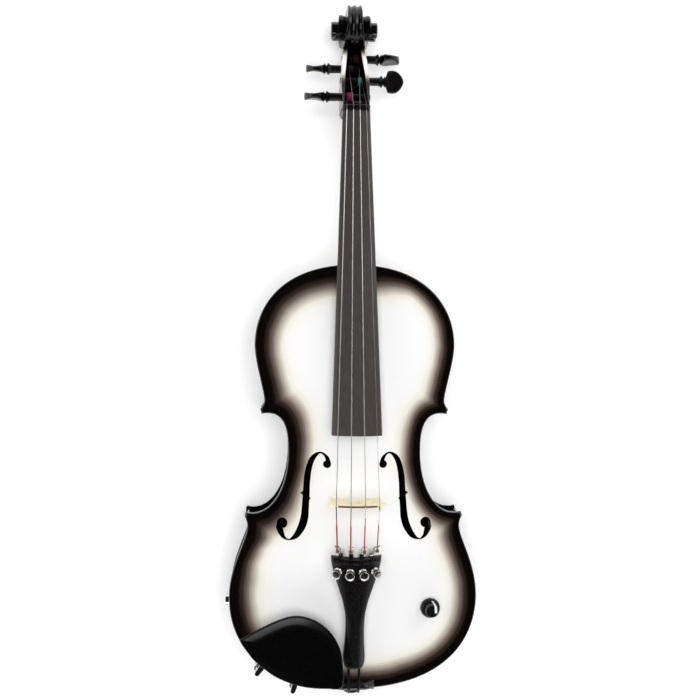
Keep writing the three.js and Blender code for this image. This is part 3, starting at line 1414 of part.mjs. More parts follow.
// Chin rest: a hollowed cup on a foot along the edge, clamped over belly and back by two barrels
const cupShares = [
  [1, 0.03], [0.985, 0.4], [0.93, 0.645], [0.84, 0.823], [0.72, 0.942], [0.575, 1], [0.42, 0.975],
  [0.226, 0.862], [0.024, 0.71], [0, 0.655], [0.08, 0.493], [0.15, 0.382], [0.35, 0.17],
  [0.6, 0.038], [0.85, 0],
];
const cupOutlineSteps = 22;
const cupPlace = ([across, along]) =>
  new THREE.Vector3(-cupInnerEnd - (1 - across) * cupSpan, cupTailInset + along * cupDepth, 0);
const cupCurve = new THREE.CatmullRomCurve3(cupShares.map(cupPlace), true, 'centripetal');
const cupLine = cupCurve.getPoints(cupOutlineSteps).slice(0, -1);
const cupMiddle = new THREE.Vector3();
cupLine.forEach((p) => cupMiddle.addScaledVector(p, 1 / cupLine.length));
const cupRim = bellyEdge + cupRimHeight;
const cupUnder = cupRim - cupHollow - cupWall;

// Rings of the cup as a share of its outline and a height, from under its middle over the rim
const cupRingTable = [
  [0.3, cupUnder], [0.72, cupUnder + cupWall * 0.2], [0.96, cupRim - cupWall], [1, cupRim - cupWall * 0.3],
  [0.965, cupRim], [0.88, cupRim - cupHollow * 0.2], [0.64, cupRim - cupHollow * 0.75],
  [0.3, cupRim - cupHollow],
];
const cupRings = cupRingTable.map(([share, level]) =>
  cupLine.map((p) => cupMiddle.clone().lerp(p, share).setZ(level)));

const clampFromShare = 0.17;
const clampToShare = 0.58;
const clampEdge = mirrored(stretch(lowerHalfShares.map(onHalf(lowerBoutHalf)), 24)
  .slice(Math.round(24 * clampFromShare), Math.round(24 * clampToShare)));
const corkFoot = bellyEdge + seatGap;
const bracketFoot = corkFoot + corkThickness + seatGap;
const padFoot = bracketFoot + clampPlate + seatGap;
const padEdge = 3;
const cupPad = prism(band(clampEdge, padEdge, padEdge + cupPadDepth), padFoot, cupUnder + cupWall * 0.6);
place('chin_rest_cup', loft(cupRings).add(cupPad), blackPlastic);
const topCork = prism(band(clampEdge, padEdge, padEdge + cupPadDepth), ribTop, corkFoot + corkThickness);
place('chin_rest_cork', cut(topCork, bellyAndUnder), cork);

const backAndOver = slab(farOver, (x, y) => backOuter(x, y) - seatGap);
const lowCorkTop = backRise - seatGap;
const lowCorkFoot = lowCorkTop - corkThickness;
const lowCork = prism(band(clampEdge, padEdge, padEdge + clampPlateDepth), lowCorkFoot, ribFoot);
place('clamp_cork', cut(lowCork, backAndOver), cork);

const barrelSpots = inside(clampEdge, -clampOut);
const barrelPicks = [2, barrelSpots.length - 3].map((i) => barrelSpots[i]);
const barrelFoot = midRib - barrelLength / 2;
const barrelTop = midRib + barrelLength / 2;
const plateBand = (low) =>
  prism(band(clampEdge, -clampOut - clampRod - 1, padEdge + clampPlateDepth - 1), low, low + clampPlate);
const lowPlateFoot = lowCorkFoot - seatGap - clampPlate;
const topRods = barrelPicks.map((spot) =>
  rod(clampRod, bracketFoot + clampPlate / 2 - barrelTop + rodInBarrel, 8, [...spot, barrelTop - rodInBarrel]));
const lowRods = barrelPicks.map((spot) =>
  rod(clampRod, barrelFoot + rodInBarrel - lowPlateFoot - clampPlate / 2, 8, [...spot, lowPlateFoot + clampPlate / 2]));
place('clamp_bracket', joined(plateBand(bracketFoot), ...topRods), nickel);
place('clamp_foot', joined(plateBand(lowPlateFoot), ...lowRods), nickel);
barrelPicks.forEach((spot, i) => {
  const tube = tubeRound(barrelRadius, barrelBore, barrelLength, 14, [...spot, barrelFoot]);
  const keyHole = rod(clampRod * 0.6, 4 * barrelRadius, 6, [spot[0] - 2 * barrelRadius, spot[1], midRib], [1, 0, 0]);
  place(`clamp_barrel_${i + 1}`, cut(tube, keyHole), nickel);
});

// Volume control: carried by its bushing in the belly, with the knob on its shaft
const potTop = bellyInner(knobAcross + potRadius, knobAlong - potRadius) - seatGap;
const knobGround = bellyOuter(knobAcross - potNutRadius, knobAlong + potNutRadius);
const bushTop = knobGround + potBushOut;
const knobFoot = bellyOuter(knobAcross - knobSkirtRadius, knobAlong + knobSkirtRadius) + 2 * seatGap;
const shaftTop = knobFoot + knobHeight * 0.62;
const knobSpot = (level) => [knobAcross, knobAlong, level];
const shaftRoom = potShaftRadius + seatGap;
place('volume_pot', turned([
  [0, 0], [potRadius, 0], [potRadius, potHeight], [potBushRadius, potHeight],
  [potBushRadius, potHeight + bushTop - potTop], [shaftRoom, potHeight + bushTop - potTop],
  [shaftRoom, potHeight / 2], [0, potHeight / 2],
], 14, knobSpot(potTop - potHeight)), steel);
place('volume_shaft', rod(potShaftRadius, shaftTop - potTop + potHeight / 2 - seatGap, 10,
  knobSpot(potTop - potHeight / 2 + seatGap)), steel);
const potNut = hexNut(potNutRadius, potBushRadius + seatGap, 3 * potNutHeight,
  knobSpot(knobGround - 2 * potNutHeight));
place('volume_nut', cut(potNut, bellyAndUnder), steel);
const knobHollow = bushTop - knobFoot + 2 * seatGap;
place('volume_knob', turned([
  [0, shaftTop - knobFoot + seatGap], [shaftRoom, shaftTop - knobFoot + seatGap], [shaftRoom, knobHollow],
  [potNutRadius + 2 * seatGap, knobHollow], [potNutRadius + 2 * seatGap, 0], [knobSkirtRadius, 0],
  [knobSkirtRadius, knobSkirtHeight * 0.35], [knobSkirtRadius * 0.93, knobSkirtHeight],
  [knobCapRadius * 1.06, knobSkirtHeight * 1.25], [knobCapRadius, knobHeight - 0.7],
  [knobCapRadius * 0.86, knobHeight], [0, knobHeight],
], 20, knobSpot(knobFoot)), blackPlastic);

// Output jack in the lower bass rib
const jackFace = jackCentre[0] - jackOut;
place('output_jack', turned([
  [0, jackLength - 2], [jackBore, jackLength - 2], [jackBore, 0], [jackSleeveRadius, 0],
  [jackSleeveRadius, jackOut + ribThickness + jackShoulderGap], [jackHousing, jackOut + ribThickness + jackShoulderGap],
  [jackHousing, jackLength], [0, jackLength],
], 14, [jackFace, jackAlong, midRib], [1, 0, 0]), nickel);
place('jack_nut', hexNut(jackNutRadius, jackSleeveRadius + seatGap, jackNutThickness,
  [jackCentre[0] - seatGap - jackNutThickness, jackAlong, midRib], [1, 0, 0]), nickel);

// Pickup disc under the bridge, and the two inner leads
const piezoSpots = [[-1, 0], [1, 0], [0, -1], [0, 1]];
const piezoTop = Math.min(...piezoSpots.map(([a, b]) =>
  bellyInner(piezoAcross + a * piezoRadius, bridgeAt + b * piezoRadius))) - seatGap;
place('pickup_disc', rod(piezoRadius, piezoThickness, 16, [piezoAcross, bridgeAt, piezoTop - piezoThickness]), brass);
const leadStart = piezoTop - piezoThickness - seatGap;
const potUnder = potTop - potHeight - seatGap;
const pickupRoute = [
  [piezoAcross, bridgeAt, leadStart], [piezoAcross, bridgeAt, leadStart - 3],
  [piezoAcross + 8, bridgeAt - 14, leadStart - 9], [knobAcross * 0.5, knobAlong + 42, midRib + 4],
  [knobAcross - 4, knobAlong + 10, potUnder - 7], [knobAcross + 3, knobAlong + 1, potUnder - 4],
  [knobAcross + 3, knobAlong, potUnder],
];
const jackEnd = jackFace + jackLength + seatGap;
const jackRoute = [
  [knobAcross - 3, knobAlong, potUnder], [knobAcross - 3, knobAlong - 1, potUnder - 4],
  [knobAcross - 16, knobAlong - 6, potUnder - 10], [0, knobAlong - 14, ribFoot + 9],
  [-knobAcross * 0.75, knobAlong - 4, midRib - 4], [jackEnd + 6, jackAlong, midRib], [jackEnd, jackAlong, midRib],
];
const leadSteps = 24;
place('pickup_lead', cordAlong(smoothPath(pickupRoute, leadSteps), leadRadius, 6), nylon);
place('jack_lead', cordAlong(smoothPath(jackRoute, leadSteps), leadRadius, 6), nylon);

const contactLevel = backOuter(0, restContact.y);
const contactAlong = restContact.y * Math.cos(restTilt) - contactLevel * Math.sin(restTilt);
violin.position.set(0, -contactAlong, -restDrop);
violin.updateMatrixWorld(true);

export default violin;
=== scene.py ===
# %% [markdown]
# # An electric violin lying on its back
# The CAD model fixes every size. Each visible piece is made here again as a finer surface in the
# same place, given a lacquer, wood or metal of its own, and told which body it moves with.

# %% Load the frame
import math
import bpy
import numpy as np
from mathutils import Matrix, Vector
from mathutils.geometry import delaunay_2d_cdt


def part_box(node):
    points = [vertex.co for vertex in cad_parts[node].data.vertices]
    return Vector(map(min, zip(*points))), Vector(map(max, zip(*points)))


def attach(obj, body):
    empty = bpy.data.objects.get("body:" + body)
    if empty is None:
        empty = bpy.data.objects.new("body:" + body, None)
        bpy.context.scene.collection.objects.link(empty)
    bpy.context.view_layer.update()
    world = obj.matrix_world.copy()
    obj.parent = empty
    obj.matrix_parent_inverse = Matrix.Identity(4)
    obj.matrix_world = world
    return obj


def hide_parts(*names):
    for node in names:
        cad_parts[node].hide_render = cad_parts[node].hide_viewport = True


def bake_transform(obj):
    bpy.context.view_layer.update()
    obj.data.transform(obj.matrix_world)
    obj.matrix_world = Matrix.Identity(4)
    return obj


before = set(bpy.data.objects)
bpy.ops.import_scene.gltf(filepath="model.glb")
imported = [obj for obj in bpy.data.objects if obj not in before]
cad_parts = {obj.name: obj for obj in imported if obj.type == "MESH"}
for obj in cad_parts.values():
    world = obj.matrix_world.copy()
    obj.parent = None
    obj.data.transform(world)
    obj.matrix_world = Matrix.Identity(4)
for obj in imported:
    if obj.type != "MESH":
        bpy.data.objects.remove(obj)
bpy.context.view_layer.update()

# %% [markdown]
# A violin is drawn flat: Y along the strings, Z out of the belly, X to the treble side, in
# millimetres. It then lies down on the arch of its back and on its scroll, which tips it by two
# degrees. One function carries points from the drawing to the table, so every shape below can be
# written in the maker's own measurements.

# %% From the drawing to the table
REST_TILT = 0.034787541941125794
REST_SHIFT = np.array([0.0, -118.57386466431562, -5.08087200675412])
TURN = np.array([
    [1, 0, 0],
    [0, math.cos(REST_TILT), -math.sin(REST_TILT)],
    [0, math.sin(REST_TILT), math.cos(REST_TILT)],
])


def on_table(points):
    """Millimetres in the violin's own drawing to metres on the table."""
    return (np.asarray(points, float) @ TURN.T + REST_SHIFT) / 1000


print("middle of the belly is at", on_table([0, 178, 61.5]))

# %% [markdown]
# Almost every piece is a grid: rings of points carried along a path, joined by four-sided faces.
# One builder turns such a grid into a closed mesh, with a point in the middle of each open end.

# %% Grids into meshes
ALL_PIECES = []


def finished(obj, body, nodes=(), soft_angle=35):
    """Shade smooth up to an angle, ride on a body and stand for CAD nodes."""
    mesh = obj.data
    mesh.shade_smooth()
    mesh.set_sharp_from_angle(angle=math.radians(soft_angle))
    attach(obj, body)
    if nodes:
        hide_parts(*nodes)
    ALL_PIECES.append(obj)
    return obj


def raw_mesh(name, points, faces, finish, values=None, in_metres=False):
    """A mesh from points and faces; values is a dictionary of numbers kept on the points."""
    place = np.asarray(points, float) if in_metres else on_table(points)
    mesh = bpy.data.meshes.new(name)
    mesh.from_pydata(place.tolist(), [], [tuple(map(int, face)) for face in faces])
    mesh.update()
    obj = bpy.data.objects.new(name, mesh)
    bpy.context.scene.collection.objects.link(obj)
    mesh.materials.append(finish)
    for key, numbers in (values or {}).items():
        layer = mesh.attributes.new(key, "FLOAT", "POINT")
        layer.data.foreach_set("value", np.asarray(numbers, np.float32))
    return obj


def grid_faces(rows, columns, loop_rows=False, loop_columns=True, start=0):
    """Four-sided faces of a grid of rows and columns, as whole index arrays."""
    r = np.arange(rows if loop_rows else rows - 1)
    c = np.arange(columns if loop_columns else columns - 1)
    r, c = np.meshgrid(r, c, indexing="ij")
    up, side = (r + 1) % rows, (c + 1) % columns
    quads = np.stack([r * columns + c, r * columns + side, up * columns + side, up * columns + c], -1)
    return quads.reshape(-1, 4) + start


def signed_volume(points, faces):
    """Six times the volume that the faces enclose, each face fanned from its first corner."""
    total = 0.0
    for size in (3, 4):
        these = np.array([f for f in faces if len(f) == size])
        for k in range(1, size - 1) if len(these) else ():
            a, b, c = points[these[:, 0]], points[these[:, k]], points[these[:, k + 1]]
            total += float(np.einsum("ij,ij->", a, np.cross(b, c)))
    return total


def skin(name, rings, finish, loop=False, values=None):
    """A closed surface through rings of equal count; open ends are closed by a middle point."""
    rings = np.asarray(rings, float)
    rows, columns = rings.shape[:2]
    points = rings.reshape(-1, 3)
    faces = grid_faces(rows, columns, loop_rows=loop).tolist()
    if not loop:
        first, last = len(points), len(points) + 1
        points = np.vstack([points, rings[0].mean(0), rings[-1].mean(0)])
        around = np.arange(columns)
        after = (around + 1) % columns
        base = (rows - 1) * columns
        faces += np.stack([np.full(columns, first), after, around], 1).tolist()
        faces += np.stack([np.full(columns, last), base + around, base + after], 1).tolist()
        if values:
            values = {k: np.append(v, [np.reshape(v, (rows, columns))[0].mean(),
                                       np.reshape(v, (rows, columns))[-1].mean()])
                      for k, v in values.items()}
    if signed_volume(points, faces) < 0:
        faces = [face[::-1] for face in faces]
    return raw_mesh(name, points, faces, finish, values)


def turned(name, profile, finish, foot=(0, 0, 0), aim=(0, 0, 1), sides=48):
    """A lathe piece: pairs of radius and height round an axis through foot along aim."""
    profile = np.asarray(profile, float)
    angle = np.linspace(0, 2 * math.pi, sides, endpoint=False)
    radius, height = np.maximum(profile[:, :1], 1e-4), profile[:, 1:]
    rings = np.stack([radius * np.cos(angle), radius * np.sin(angle), height + 0 * angle], -1)
    turn = Vector((0, 0, 1)).rotation_difference(Vector(aim)).to_matrix()
    rings = rings @ np.array(turn).T + np.asarray(foot, float)
    return skin(name, rings, finish)


def tube_rings(path, radius, sides=12):
    """Rings along a path, each turned as little as possible from the one before."""
    path = np.asarray(path, float)
    ahead = np.gradient(path, axis=0)
    ahead /= np.linalg.norm(ahead, axis=1, keepdims=True)
    side = np.cross(ahead[0], [0.31, 0.17, 0.93])
    frames = []
    for way in ahead:
        side = side - way * (side @ way)
        side /= np.linalg.norm(side)
        frames.append((side, np.cross(way, side)))
    frames = np.array(frames)
    angle = np.linspace(0, 2 * math.pi, sides, endpoint=False)
    width = np.broadcast_to(np.asarray(radius, float), len(path))[:, None, None]
    return (path[:, None] + width * (np.cos(angle)[None, :, None] * frames[:, None, 0]
                                     + np.sin(angle)[None, :, None] * frames[:, None, 1]))


def bend_through(points, steps):
    """A smooth curve through points: each stretch is a cubic that leaves in its neighbours' way."""
    p = np.asarray(points, float)
    reach = np.linspace(0, len(p) - 1, steps + 1)
    at = np.minimum(reach.astype(int), len(p) - 2)
    w = (reach - at)[:, None]
    before, a, b, after = p[np.maximum(at - 1, 0)], p[at], p[at + 1], p[np.minimum(at + 2, len(p) - 1)]
    v0, v1 = (b - before) / 2, (after - a) / 2
    return (2 * a - 2 * b + v0 + v1) * w**3 + (3 * b - 3 * a - 2 * v0 - v1) * w**2 + v0 * w + a


print("builders ready")

# %% [markdown]
# The finish of this violin is a sprayed burst: white in the middle, then cream and smoke, then
# black along every edge. It cannot be a picture, so each point of a lacquered piece carries its
# distance to the edge, and a colour ramp reads that distance. A little noise moves the line as a
# spray gun does. A clear coat and a very faint orange peel make it lacquer.

# %% Finishes: a short way to write them
def plain_finish(name, colour, roughness, metallic=0.0, coat=0.0, coat_roughness=0.03, specular=0.5):
    """A material with its uniform values set on the shader's own sockets."""
    made = bpy.data.materials.new(name)
    made.use_nodes = True
    shader = made.node_tree.nodes["Principled BSDF"]
    shader.inputs["Base Color"].default_value = (*colour, 1)
    shader.inputs["Roughness"].default_value = roughness
    shader.inputs["Metallic"].default_value = metallic
    shader.inputs["Coat Weight"].default_value = coat
    shader.inputs["Coat Roughness"].default_value = coat_roughness
    shader.inputs["Specular IOR Level"].default_value = specular
    return made


def add(made, kind, **inputs):
    """A node of a material with some of its inputs set or linked."""
    node = made.node_tree.nodes.new(kind)
    for key, value in inputs.items():
        socket = node.inputs[key.replace("_", " ")] if isinstance(key, str) else node.inputs[key]
        if isinstance(value, bpy.types.NodeSocket):
            made.node_tree.links.new(value, socket)
        else:
            socket.default_value = value
    return node


def shader_of(made):
    return made.node_tree.nodes["Principled BSDF"]


def link(made, source, name):
    made.node_tree.links.new(source, shader_of(made).inputs[name])


def object_place(made, scale=(1, 1, 1), turn=(0, 0, 0)):
    """The point of the surface in metres, stretched by scale."""
    place = made.node_tree.nodes.new("ShaderNodeTexCoord").outputs["Object"]
    return add(made, "ShaderNodeMapping", Vector=place, Scale=scale, Rotation=turn).outputs["Vector"]


def ramp(made, factor, stops):
    """A colour ramp from pairs of place and colour."""
    node = made.node_tree.nodes.new("ShaderNodeValToRGB")
    made.node_tree.links.new(factor, node.inputs["Fac"])
    band = node.color_ramp
    while len(band.elements) < len(stops):
        band.elements.new(0.5)
    for element, (place, colour) in zip(band.elements, stops):
        element.position = place
        element.color = (*colour, 1)
    return node.outputs["Color"]


def bump(made, height, distance, strength=1.0):
    """Small relief on the shading only, with its depth in metres."""
    node = add(made, "ShaderNodeBump", Height=height, Distance=distance, Strength=strength)
    link(made, node.outputs["Normal"], "Normal")


def noise(made, place, scale, detail=3.0, rough=0.5):
    return add(made, "ShaderNodeTexNoise", Vector=place, Scale=scale, Detail=detail,
               Roughness=rough).outputs["Fac"]


def ranged(made, value, low, high, to_low, to_high):
    node = made.node_tree.nodes.new("ShaderNodeMapRange")
    made.node_tree.links.new(value, node.inputs["Value"])
    for key, number in zip(("From Min", "From Max", "To Min", "To Max"), (low, high, to_low, to_high)):
        node.inputs[key].default_value = number
    return node.outputs["Result"]


print("finish helpers ready")

# %% Burst lacquer
BURST_REACH = 34.0


def burst_lacquer(name, coat=0.7, specular=0.5):
    """Colour from the distance to the edge in millimetres, shifted a little by noise."""
    made = plain_finish(name, (0.9, 0.9, 0.88), 0.16, coat=coat, coat_roughness=0.02, specular=specular)
    edge = made.node_tree.nodes.new("ShaderNodeAttribute")
    edge.attribute_name = "edge_mm"
    cloud = noise(made, object_place(made), 26.0, 2.0)
    drift = ranged(made, cloud, 0.3, 0.7, -0.8, 0.8)
    speck = ranged(made, noise(made, object_place(made), 2600.0, 1.0), 0.3, 0.7, -0.5, 0.5)
    moved = add(made, "ShaderNodeMath")
    made.node_tree.links.new(edge.outputs["Fac"], moved.inputs[0])
    made.node_tree.links.new(drift, moved.inputs[1])
    spray = add(made, "ShaderNodeMath")
    made.node_tree.links.new(moved.outputs[0], spray.inputs[0])
    made.node_tree.links.new(speck, spray.inputs[1])
    share = ranged(made, spray.outputs[0], 0.0, BURST_REACH, 0.0, 1.0)
    colour = ramp(made, share, [
        (0.0, (0.0015, 0.0012, 0.0012)), (0.18, (0.003, 0.0015, 0.001)), (0.29, (0.035, 0.022, 0.017)),
        (0.39, (0.16, 0.125, 0.105)), (0.5, (0.47, 0.42, 0.35)), (0.61, (0.82, 0.79, 0.69)),
        (0.75, (0.89, 0.88, 0.84)), (1.0, (0.91, 0.91, 0.91)),
    ])
    link(made, colour, "Base Color")
    bump(made, noise(made, object_place(made), 420.0, 1.0), 0.00003, 0.35)
    return made


def black_lacquer(name, roughness=0.14):
    """Sprayed black under a clear coat, with a faint cloud in the colour and the gloss."""
    made = plain_finish(name, (0.002, 0.002, 0.002), roughness, coat=0.6, coat_roughness=0.03)
    cloud = noise(made, object_place(made), 60.0, 4.0)
    link(made, ramp(made, cloud, [(0.3, (0.001, 0.001, 0.001)), (0.7, (0.004, 0.003, 0.003))]), "Base Color")
    link(made, ranged(made, noise(made, object_place(made), 180.0, 3.0), 0.3, 0.7, 0.1, 0.19), "Roughness")
    bump(made, noise(made, object_place(made), 380.0, 1.0), 0.00003, 0.3)
    return made


# The carved head has a thinner clear coat, so that its black stays deep in the many grooves
WHITE_BURST = burst_lacquer("white_burst_lacquer")
HEAD_BURST = burst_lacquer("head_burst_lacquer", 0.2, 0.25)
BLACK_GLOSS = black_lacquer("black_gloss_lacquer")
print("lacquers ready")

# %% [markdown]
# The black fittings are dyed hardwood. Seen close, dyed wood keeps short open pores that run along
# the grain, so its noise is stretched along the strings, and its polish is satin, not glass. The
# bridge is bare maple with short dark flecks, and the blocks inside are spruce with its straight
# winter lines.

# %% Woods
def dyed_wood(name, colour=(0.003, 0.0025, 0.0025), roughness=0.22, along=(90, 6, 90)):
    """Long thin pores from a stretched noise, in colour, gloss and relief."""
    made = plain_finish(name, colour, roughness, coat=0.1, coat_roughness=0.15, specular=0.35)
    pores = noise(made, object_place(made, along), 12.0, 6.0, 0.65)
    light = tuple(min(1, c * 1.9 + 0.002) for c in colour)
    link(made, ramp(made, pores, [(0.32, colour), (0.55, tuple(c * 1.25 for c in colour)), (0.75, light)]),
         "Base Color")
    link(made, ranged(made, pores, 0.3, 0.7, roughness - 0.06, roughness + 0.1), "Roughness")
    bump(made, pores, 0.00005, 0.5)
    return made


def bare_wood(name, pale, dark, rings=60.0, stretch=(1, 0.08, 1), roughness=0.52):
    """Year lines from a warped wave, with fine fibres over them."""
    made = plain_finish(name, pale, roughness)
    place = object_place(made, stretch)
    wave = add(made, "ShaderNodeTexWave", Vector=place, Scale=rings, Distortion=2.2, Detail=3.0,
               Detail_Scale=1.6)
    fibre = noise(made, object_place(made, (1, 0.05, 1)), 1500.0, 4.0, 0.6)
    both = add(made, "ShaderNodeMath")
    made.node_tree.links.new(wave.outputs["Fac"], both.inputs[0])
    made.node_tree.links.new(fibre, both.inputs[1])
    mixed = ranged(made, both.outputs[0], 0.3, 1.6, 0.0, 1.0)
    middle = tuple((a + b) / 2 for a, b in zip(pale, dark))
    link(made, ramp(made, mixed, [(0.0, dark), (0.45, middle), (1.0, pale)]), "Base Color")
    bump(made, fibre, 0.00004, 0.5)
    return made


EBONY = dyed_wood("dyed_ebony")
BOARD_EBONY = dyed_wood("fingerboard_ebony", (0.038, 0.031, 0.027), 0.42, (120, 5, 120))
MAPLE = bare_wood("bridge_maple", (0.94, 0.86, 0.6), (0.84, 0.72, 0.45), 420.0, (1, 1, 0.25))
# A dark red-brown strip along the bridge's crest is painted shade under the strings, given a wood grain
CREST_SHADE = bare_wood("crest_painted_shade", (0.16, 0.05, 0.025), (0.07, 0.02, 0.012), 420.0)
SPRUCE = bare_wood("inner_spruce", (0.72, 0.55, 0.33), (0.5, 0.33, 0.17), 90.0)
print("woods ready")

# %% Metals, plastics and cork
def plated(name, colour=(0.8, 0.79, 0.77), roughness=0.16, scratch=(1, 1, 1)):
    """Bright plate whose gloss is broken by fine rubbing marks."""
    made = plain_finish(name, colour, roughness, metallic=1.0)
    rub = noise(made, object_place(made, scratch), 900.0, 4.0, 0.6)
    link(made, ranged(made, rub, 0.3, 0.7, roughness * 0.6, roughness * 1.5), "Roughness")
    cloud = noise(made, object_place(made), 120.0, 3.0)
    link(made, ramp(made, cloud, [(0.3, tuple(c * 0.86 for c in colour)), (0.7, colour)]), "Base Color")
    bump(made, rub, 0.00001, 0.4)
    return made


def moulded(name, colour=(0.0025, 0.0024, 0.0024), roughness=0.36, grain=1400.0):
    """Moulded black plastic with a fine spark-eroded grain."""
    made = plain_finish(name, colour, roughness, coat=0.05, coat_roughness=0.2, specular=0.25)
    fine = noise(made, object_place(made), grain, 2.0)
    light = tuple(c * 1.8 for c in colour)
    link(made, ramp(made, fine, [(0.35, colour), (0.7, light)]), "Base Color")
    link(made, ranged(made, fine, 0.3, 0.7, roughness - 0.08, roughness + 0.08), "Roughness")
    bump(made, fine, 0.00002, 0.6)
    return made


def sheet_cork(name):
    """Cork: rounded grains from a cell pattern, with dark seams between them."""
    made = plain_finish(name, (0.5, 0.32, 0.17), 0.85)
    cells = add(made, "ShaderNodeTexVoronoi", Vector=object_place(made), Scale=900.0)
    link(made, ramp(made, cells.outputs["Distance"], [(0.0, (0.6, 0.42, 0.24)), (0.5, (0.46, 0.3, 0.16)),
                                                      (0.9, (0.16, 0.09, 0.05))]), "Base Color")
    bump(made, cells.outputs["Distance"], 0.00015, 0.8)
    return made


def wound(name, colour, roughness=0.3, metallic=1.0, pitch=4200.0):
    """String winding: fine rings from a wave that follows the string's length."""
    made = plain_finish(name, colour, roughness, metallic=metallic)
    along = made.node_tree.nodes.new("ShaderNodeAttribute")
    along.attribute_name = "along_m"
    line = add(made, "ShaderNodeCombineXYZ")
    made.node_tree.links.new(along.outputs["Fac"], line.inputs["X"])
    rings = add(made, "ShaderNodeTexWave", Vector=line.outputs["Vector"], Scale=pitch / 20)
    link(made, ramp(made, rings.outputs["Fac"], [(0.1, tuple(c * 0.72 for c in colour)), (0.6, colour)]),
         "Base Color")
    bump(made, rings.outputs["Fac"], 0.00004, 0.6)
    return made


NICKEL = plated("nickel_plate")
STEEL = plated("plain_steel", (0.68, 0.68, 0.68), 0.3)
BRASS = plated("pickup_brass", (0.72, 0.53, 0.26), 0.35)
BLACK_PLASTIC = moulded("black_plastic")
CHIN_PLASTIC = moulded("chin_rest_plastic", (0.0012, 0.0011, 0.0011), 0.2, 1000.0)
BALL_METAL = plated("ball_metal", (0.3, 0.22, 0.14), 0.3)
CORD_NYLON = moulded("loop_nylon", (0.002, 0.002, 0.002), 0.45, 3000.0)
LEAD_SLEEVE = moulded("lead_sleeve", (0.012, 0.012, 0.013), 0.5, 2000.0)
CORK = sheet_cork("sheet_cork")
WOUND_STEEL = wound("wound_string", (0.86, 0.86, 0.86), 0.26)
PLAIN_STEEL = wound("plain_string", (0.55, 0.55, 0.55), 0.28, pitch=200.0)
SILKS = {
    "low": wound("silk_magenta", (0.34, 0.02, 0.1), 0.55, 0.0),
    "third": wound("silk_brown", (0.025, 0.006, 0.006), 0.55, 0.0),
    "second": wound("silk_rust", (0.03, 0.008, 0.006), 0.55, 0.0),
    "high": wound("silk_green", (0.05, 0.22, 0.16), 0.55, 0.0),
}
DULL_STEEL = wound("dull_string", (0.2, 0.2, 0.21), 0.34)
print("metals, plastics and silks ready")

# %% [markdown]
# The outline is the violin's signature. It is drawn as a maker does with a template: a few smooth
# stretches for the lower bout, the waist and the upper bout, meeting in pointed corners. Each
# stretch is a cubic curve of four points, written in shares of the bout's half width and of the
# body's length.

# %% Outline of the body
BODY_LENGTH, LOWER_HALF, WAIST_HALF, UPPER_HALF = 356.0, 104.0, 55.6, 84.0
RIB_FOOT, RIB_TOP, BELLY_EDGE = 15.0, 46.0, 50.0
NUT_AT, BRIDGE_AT = 485.0, 160.0


def cubic(points, steps):
    """A curve of four points: each point of it is their average, weighted by cubic shares."""
    t = np.linspace(0, 1, steps + 1)[:, None]
    a, b, c, d = np.asarray(points, float)
    return a * (1 - t)**3 + 3 * b * t * (1 - t)**2 + 3 * c * t**2 * (1 - t) + d * t**3


def bout(half, shares, steps):
    return cubic([(x * half, y * BODY_LENGTH) for x, y in shares], steps)


waist_at = [(WAIST_HALF, s * BODY_LENGTH) for s in (0.469, 0.56, 0.602)]
LOWER = np.vstack([
    bout(LOWER_HALF, [(0, 0), (0.734, 0), (1, 0.108), (1, 0.219)], 54),
    bout(LOWER_HALF, [(1, 0.219), (1, 0.295), (0.857, 0.354), (0.857, 0.386)], 26)[1:],
    bout(LOWER_HALF, [(0.857, 0.386), (0.857, 0.393), (0.866, 0.402), (0.88, 0.409)], 7)[1:],
])
WAIST = np.vstack([
    cubic([(0.87 * LOWER_HALF, 0.418 * BODY_LENGTH), (0.679 * LOWER_HALF, 0.403 * BODY_LENGTH),
           waist_at[0], waist_at[1]], 26),
    cubic([waist_at[1], waist_at[2], (0.679 * UPPER_HALF, 0.66 * BODY_LENGTH),
           (0.926 * UPPER_HALF, 0.648 * BODY_LENGTH)], 26)[1:],
])
UPPER = np.vstack([
    bout(UPPER_HALF, [(0.94, 0.66), (0.917, 0.665), (0.901, 0.674), (0.901, 0.681)], 7),
    bout(UPPER_HALF, [(0.901, 0.681), (0.901, 0.699), (1, 0.773), (1, 0.81)], 24)[1:],
    bout(UPPER_HALF, [(1, 0.81), (1, 0.902), (0.724, 1), (0, 1)], 46)[1:],
])
HALF_LINE = np.vstack([LOWER, WAIST, UPPER])
OUTLINE = np.vstack([HALF_LINE, (HALF_LINE * [-1, 1])[::-1][1:-1]])
print("outline points", len(OUTLINE))


def inset(points, depth, closed=True):
    """The line moved inwards, square to the way between its neighbours."""
    if closed:
        way = np.roll(points, -1, 0) - np.roll(points, 1, 0)
    else:
        way = np.gradient(points, axis=0)
    way /= np.linalg.norm(way, axis=1, keepdims=True)
    return points + np.stack([-way[:, 1], way[:, 0]], 1) * depth


def distance_to(line, points, closed=True):
    """Least distance of each point to a broken line, found on every one of its pieces."""
    a = line
    b = np.roll(line, -1, 0) if closed else line[1:]
    a = a if closed else line[:-1]
    best = np.full(len(points), 1e9)
    for begin in range(0, len(points), 4000):
        p = points[begin:begin + 4000, None]
        run = (b - a)[None]
        share = np.clip(((p - a) * run).sum(-1) / (run**2).sum(-1), 0, 1)[..., None]
        best[begin:begin + 4000] = np.linalg.norm(a + share * run - p, axis=-1).min(1)
    return best


def within(line, points):
    """Whether each point lies inside a closed line, by counting crossings to its right."""
    a, b = line, np.roll(line, -1, 0)
    x, y = points[:, None, 0], points[:, None, 1]
    crosses = (a[:, 1] > y) != (b[:, 1] > y)
    slope = (b[:, 0] - a[:, 0]) / np.where(b[:, 1] == a[:, 1], 1e-9, b[:, 1] - a[:, 1])
    return (crosses & (x < a[:, 0] + (y - a[:, 1]) * slope)).sum(1) % 2 == 1


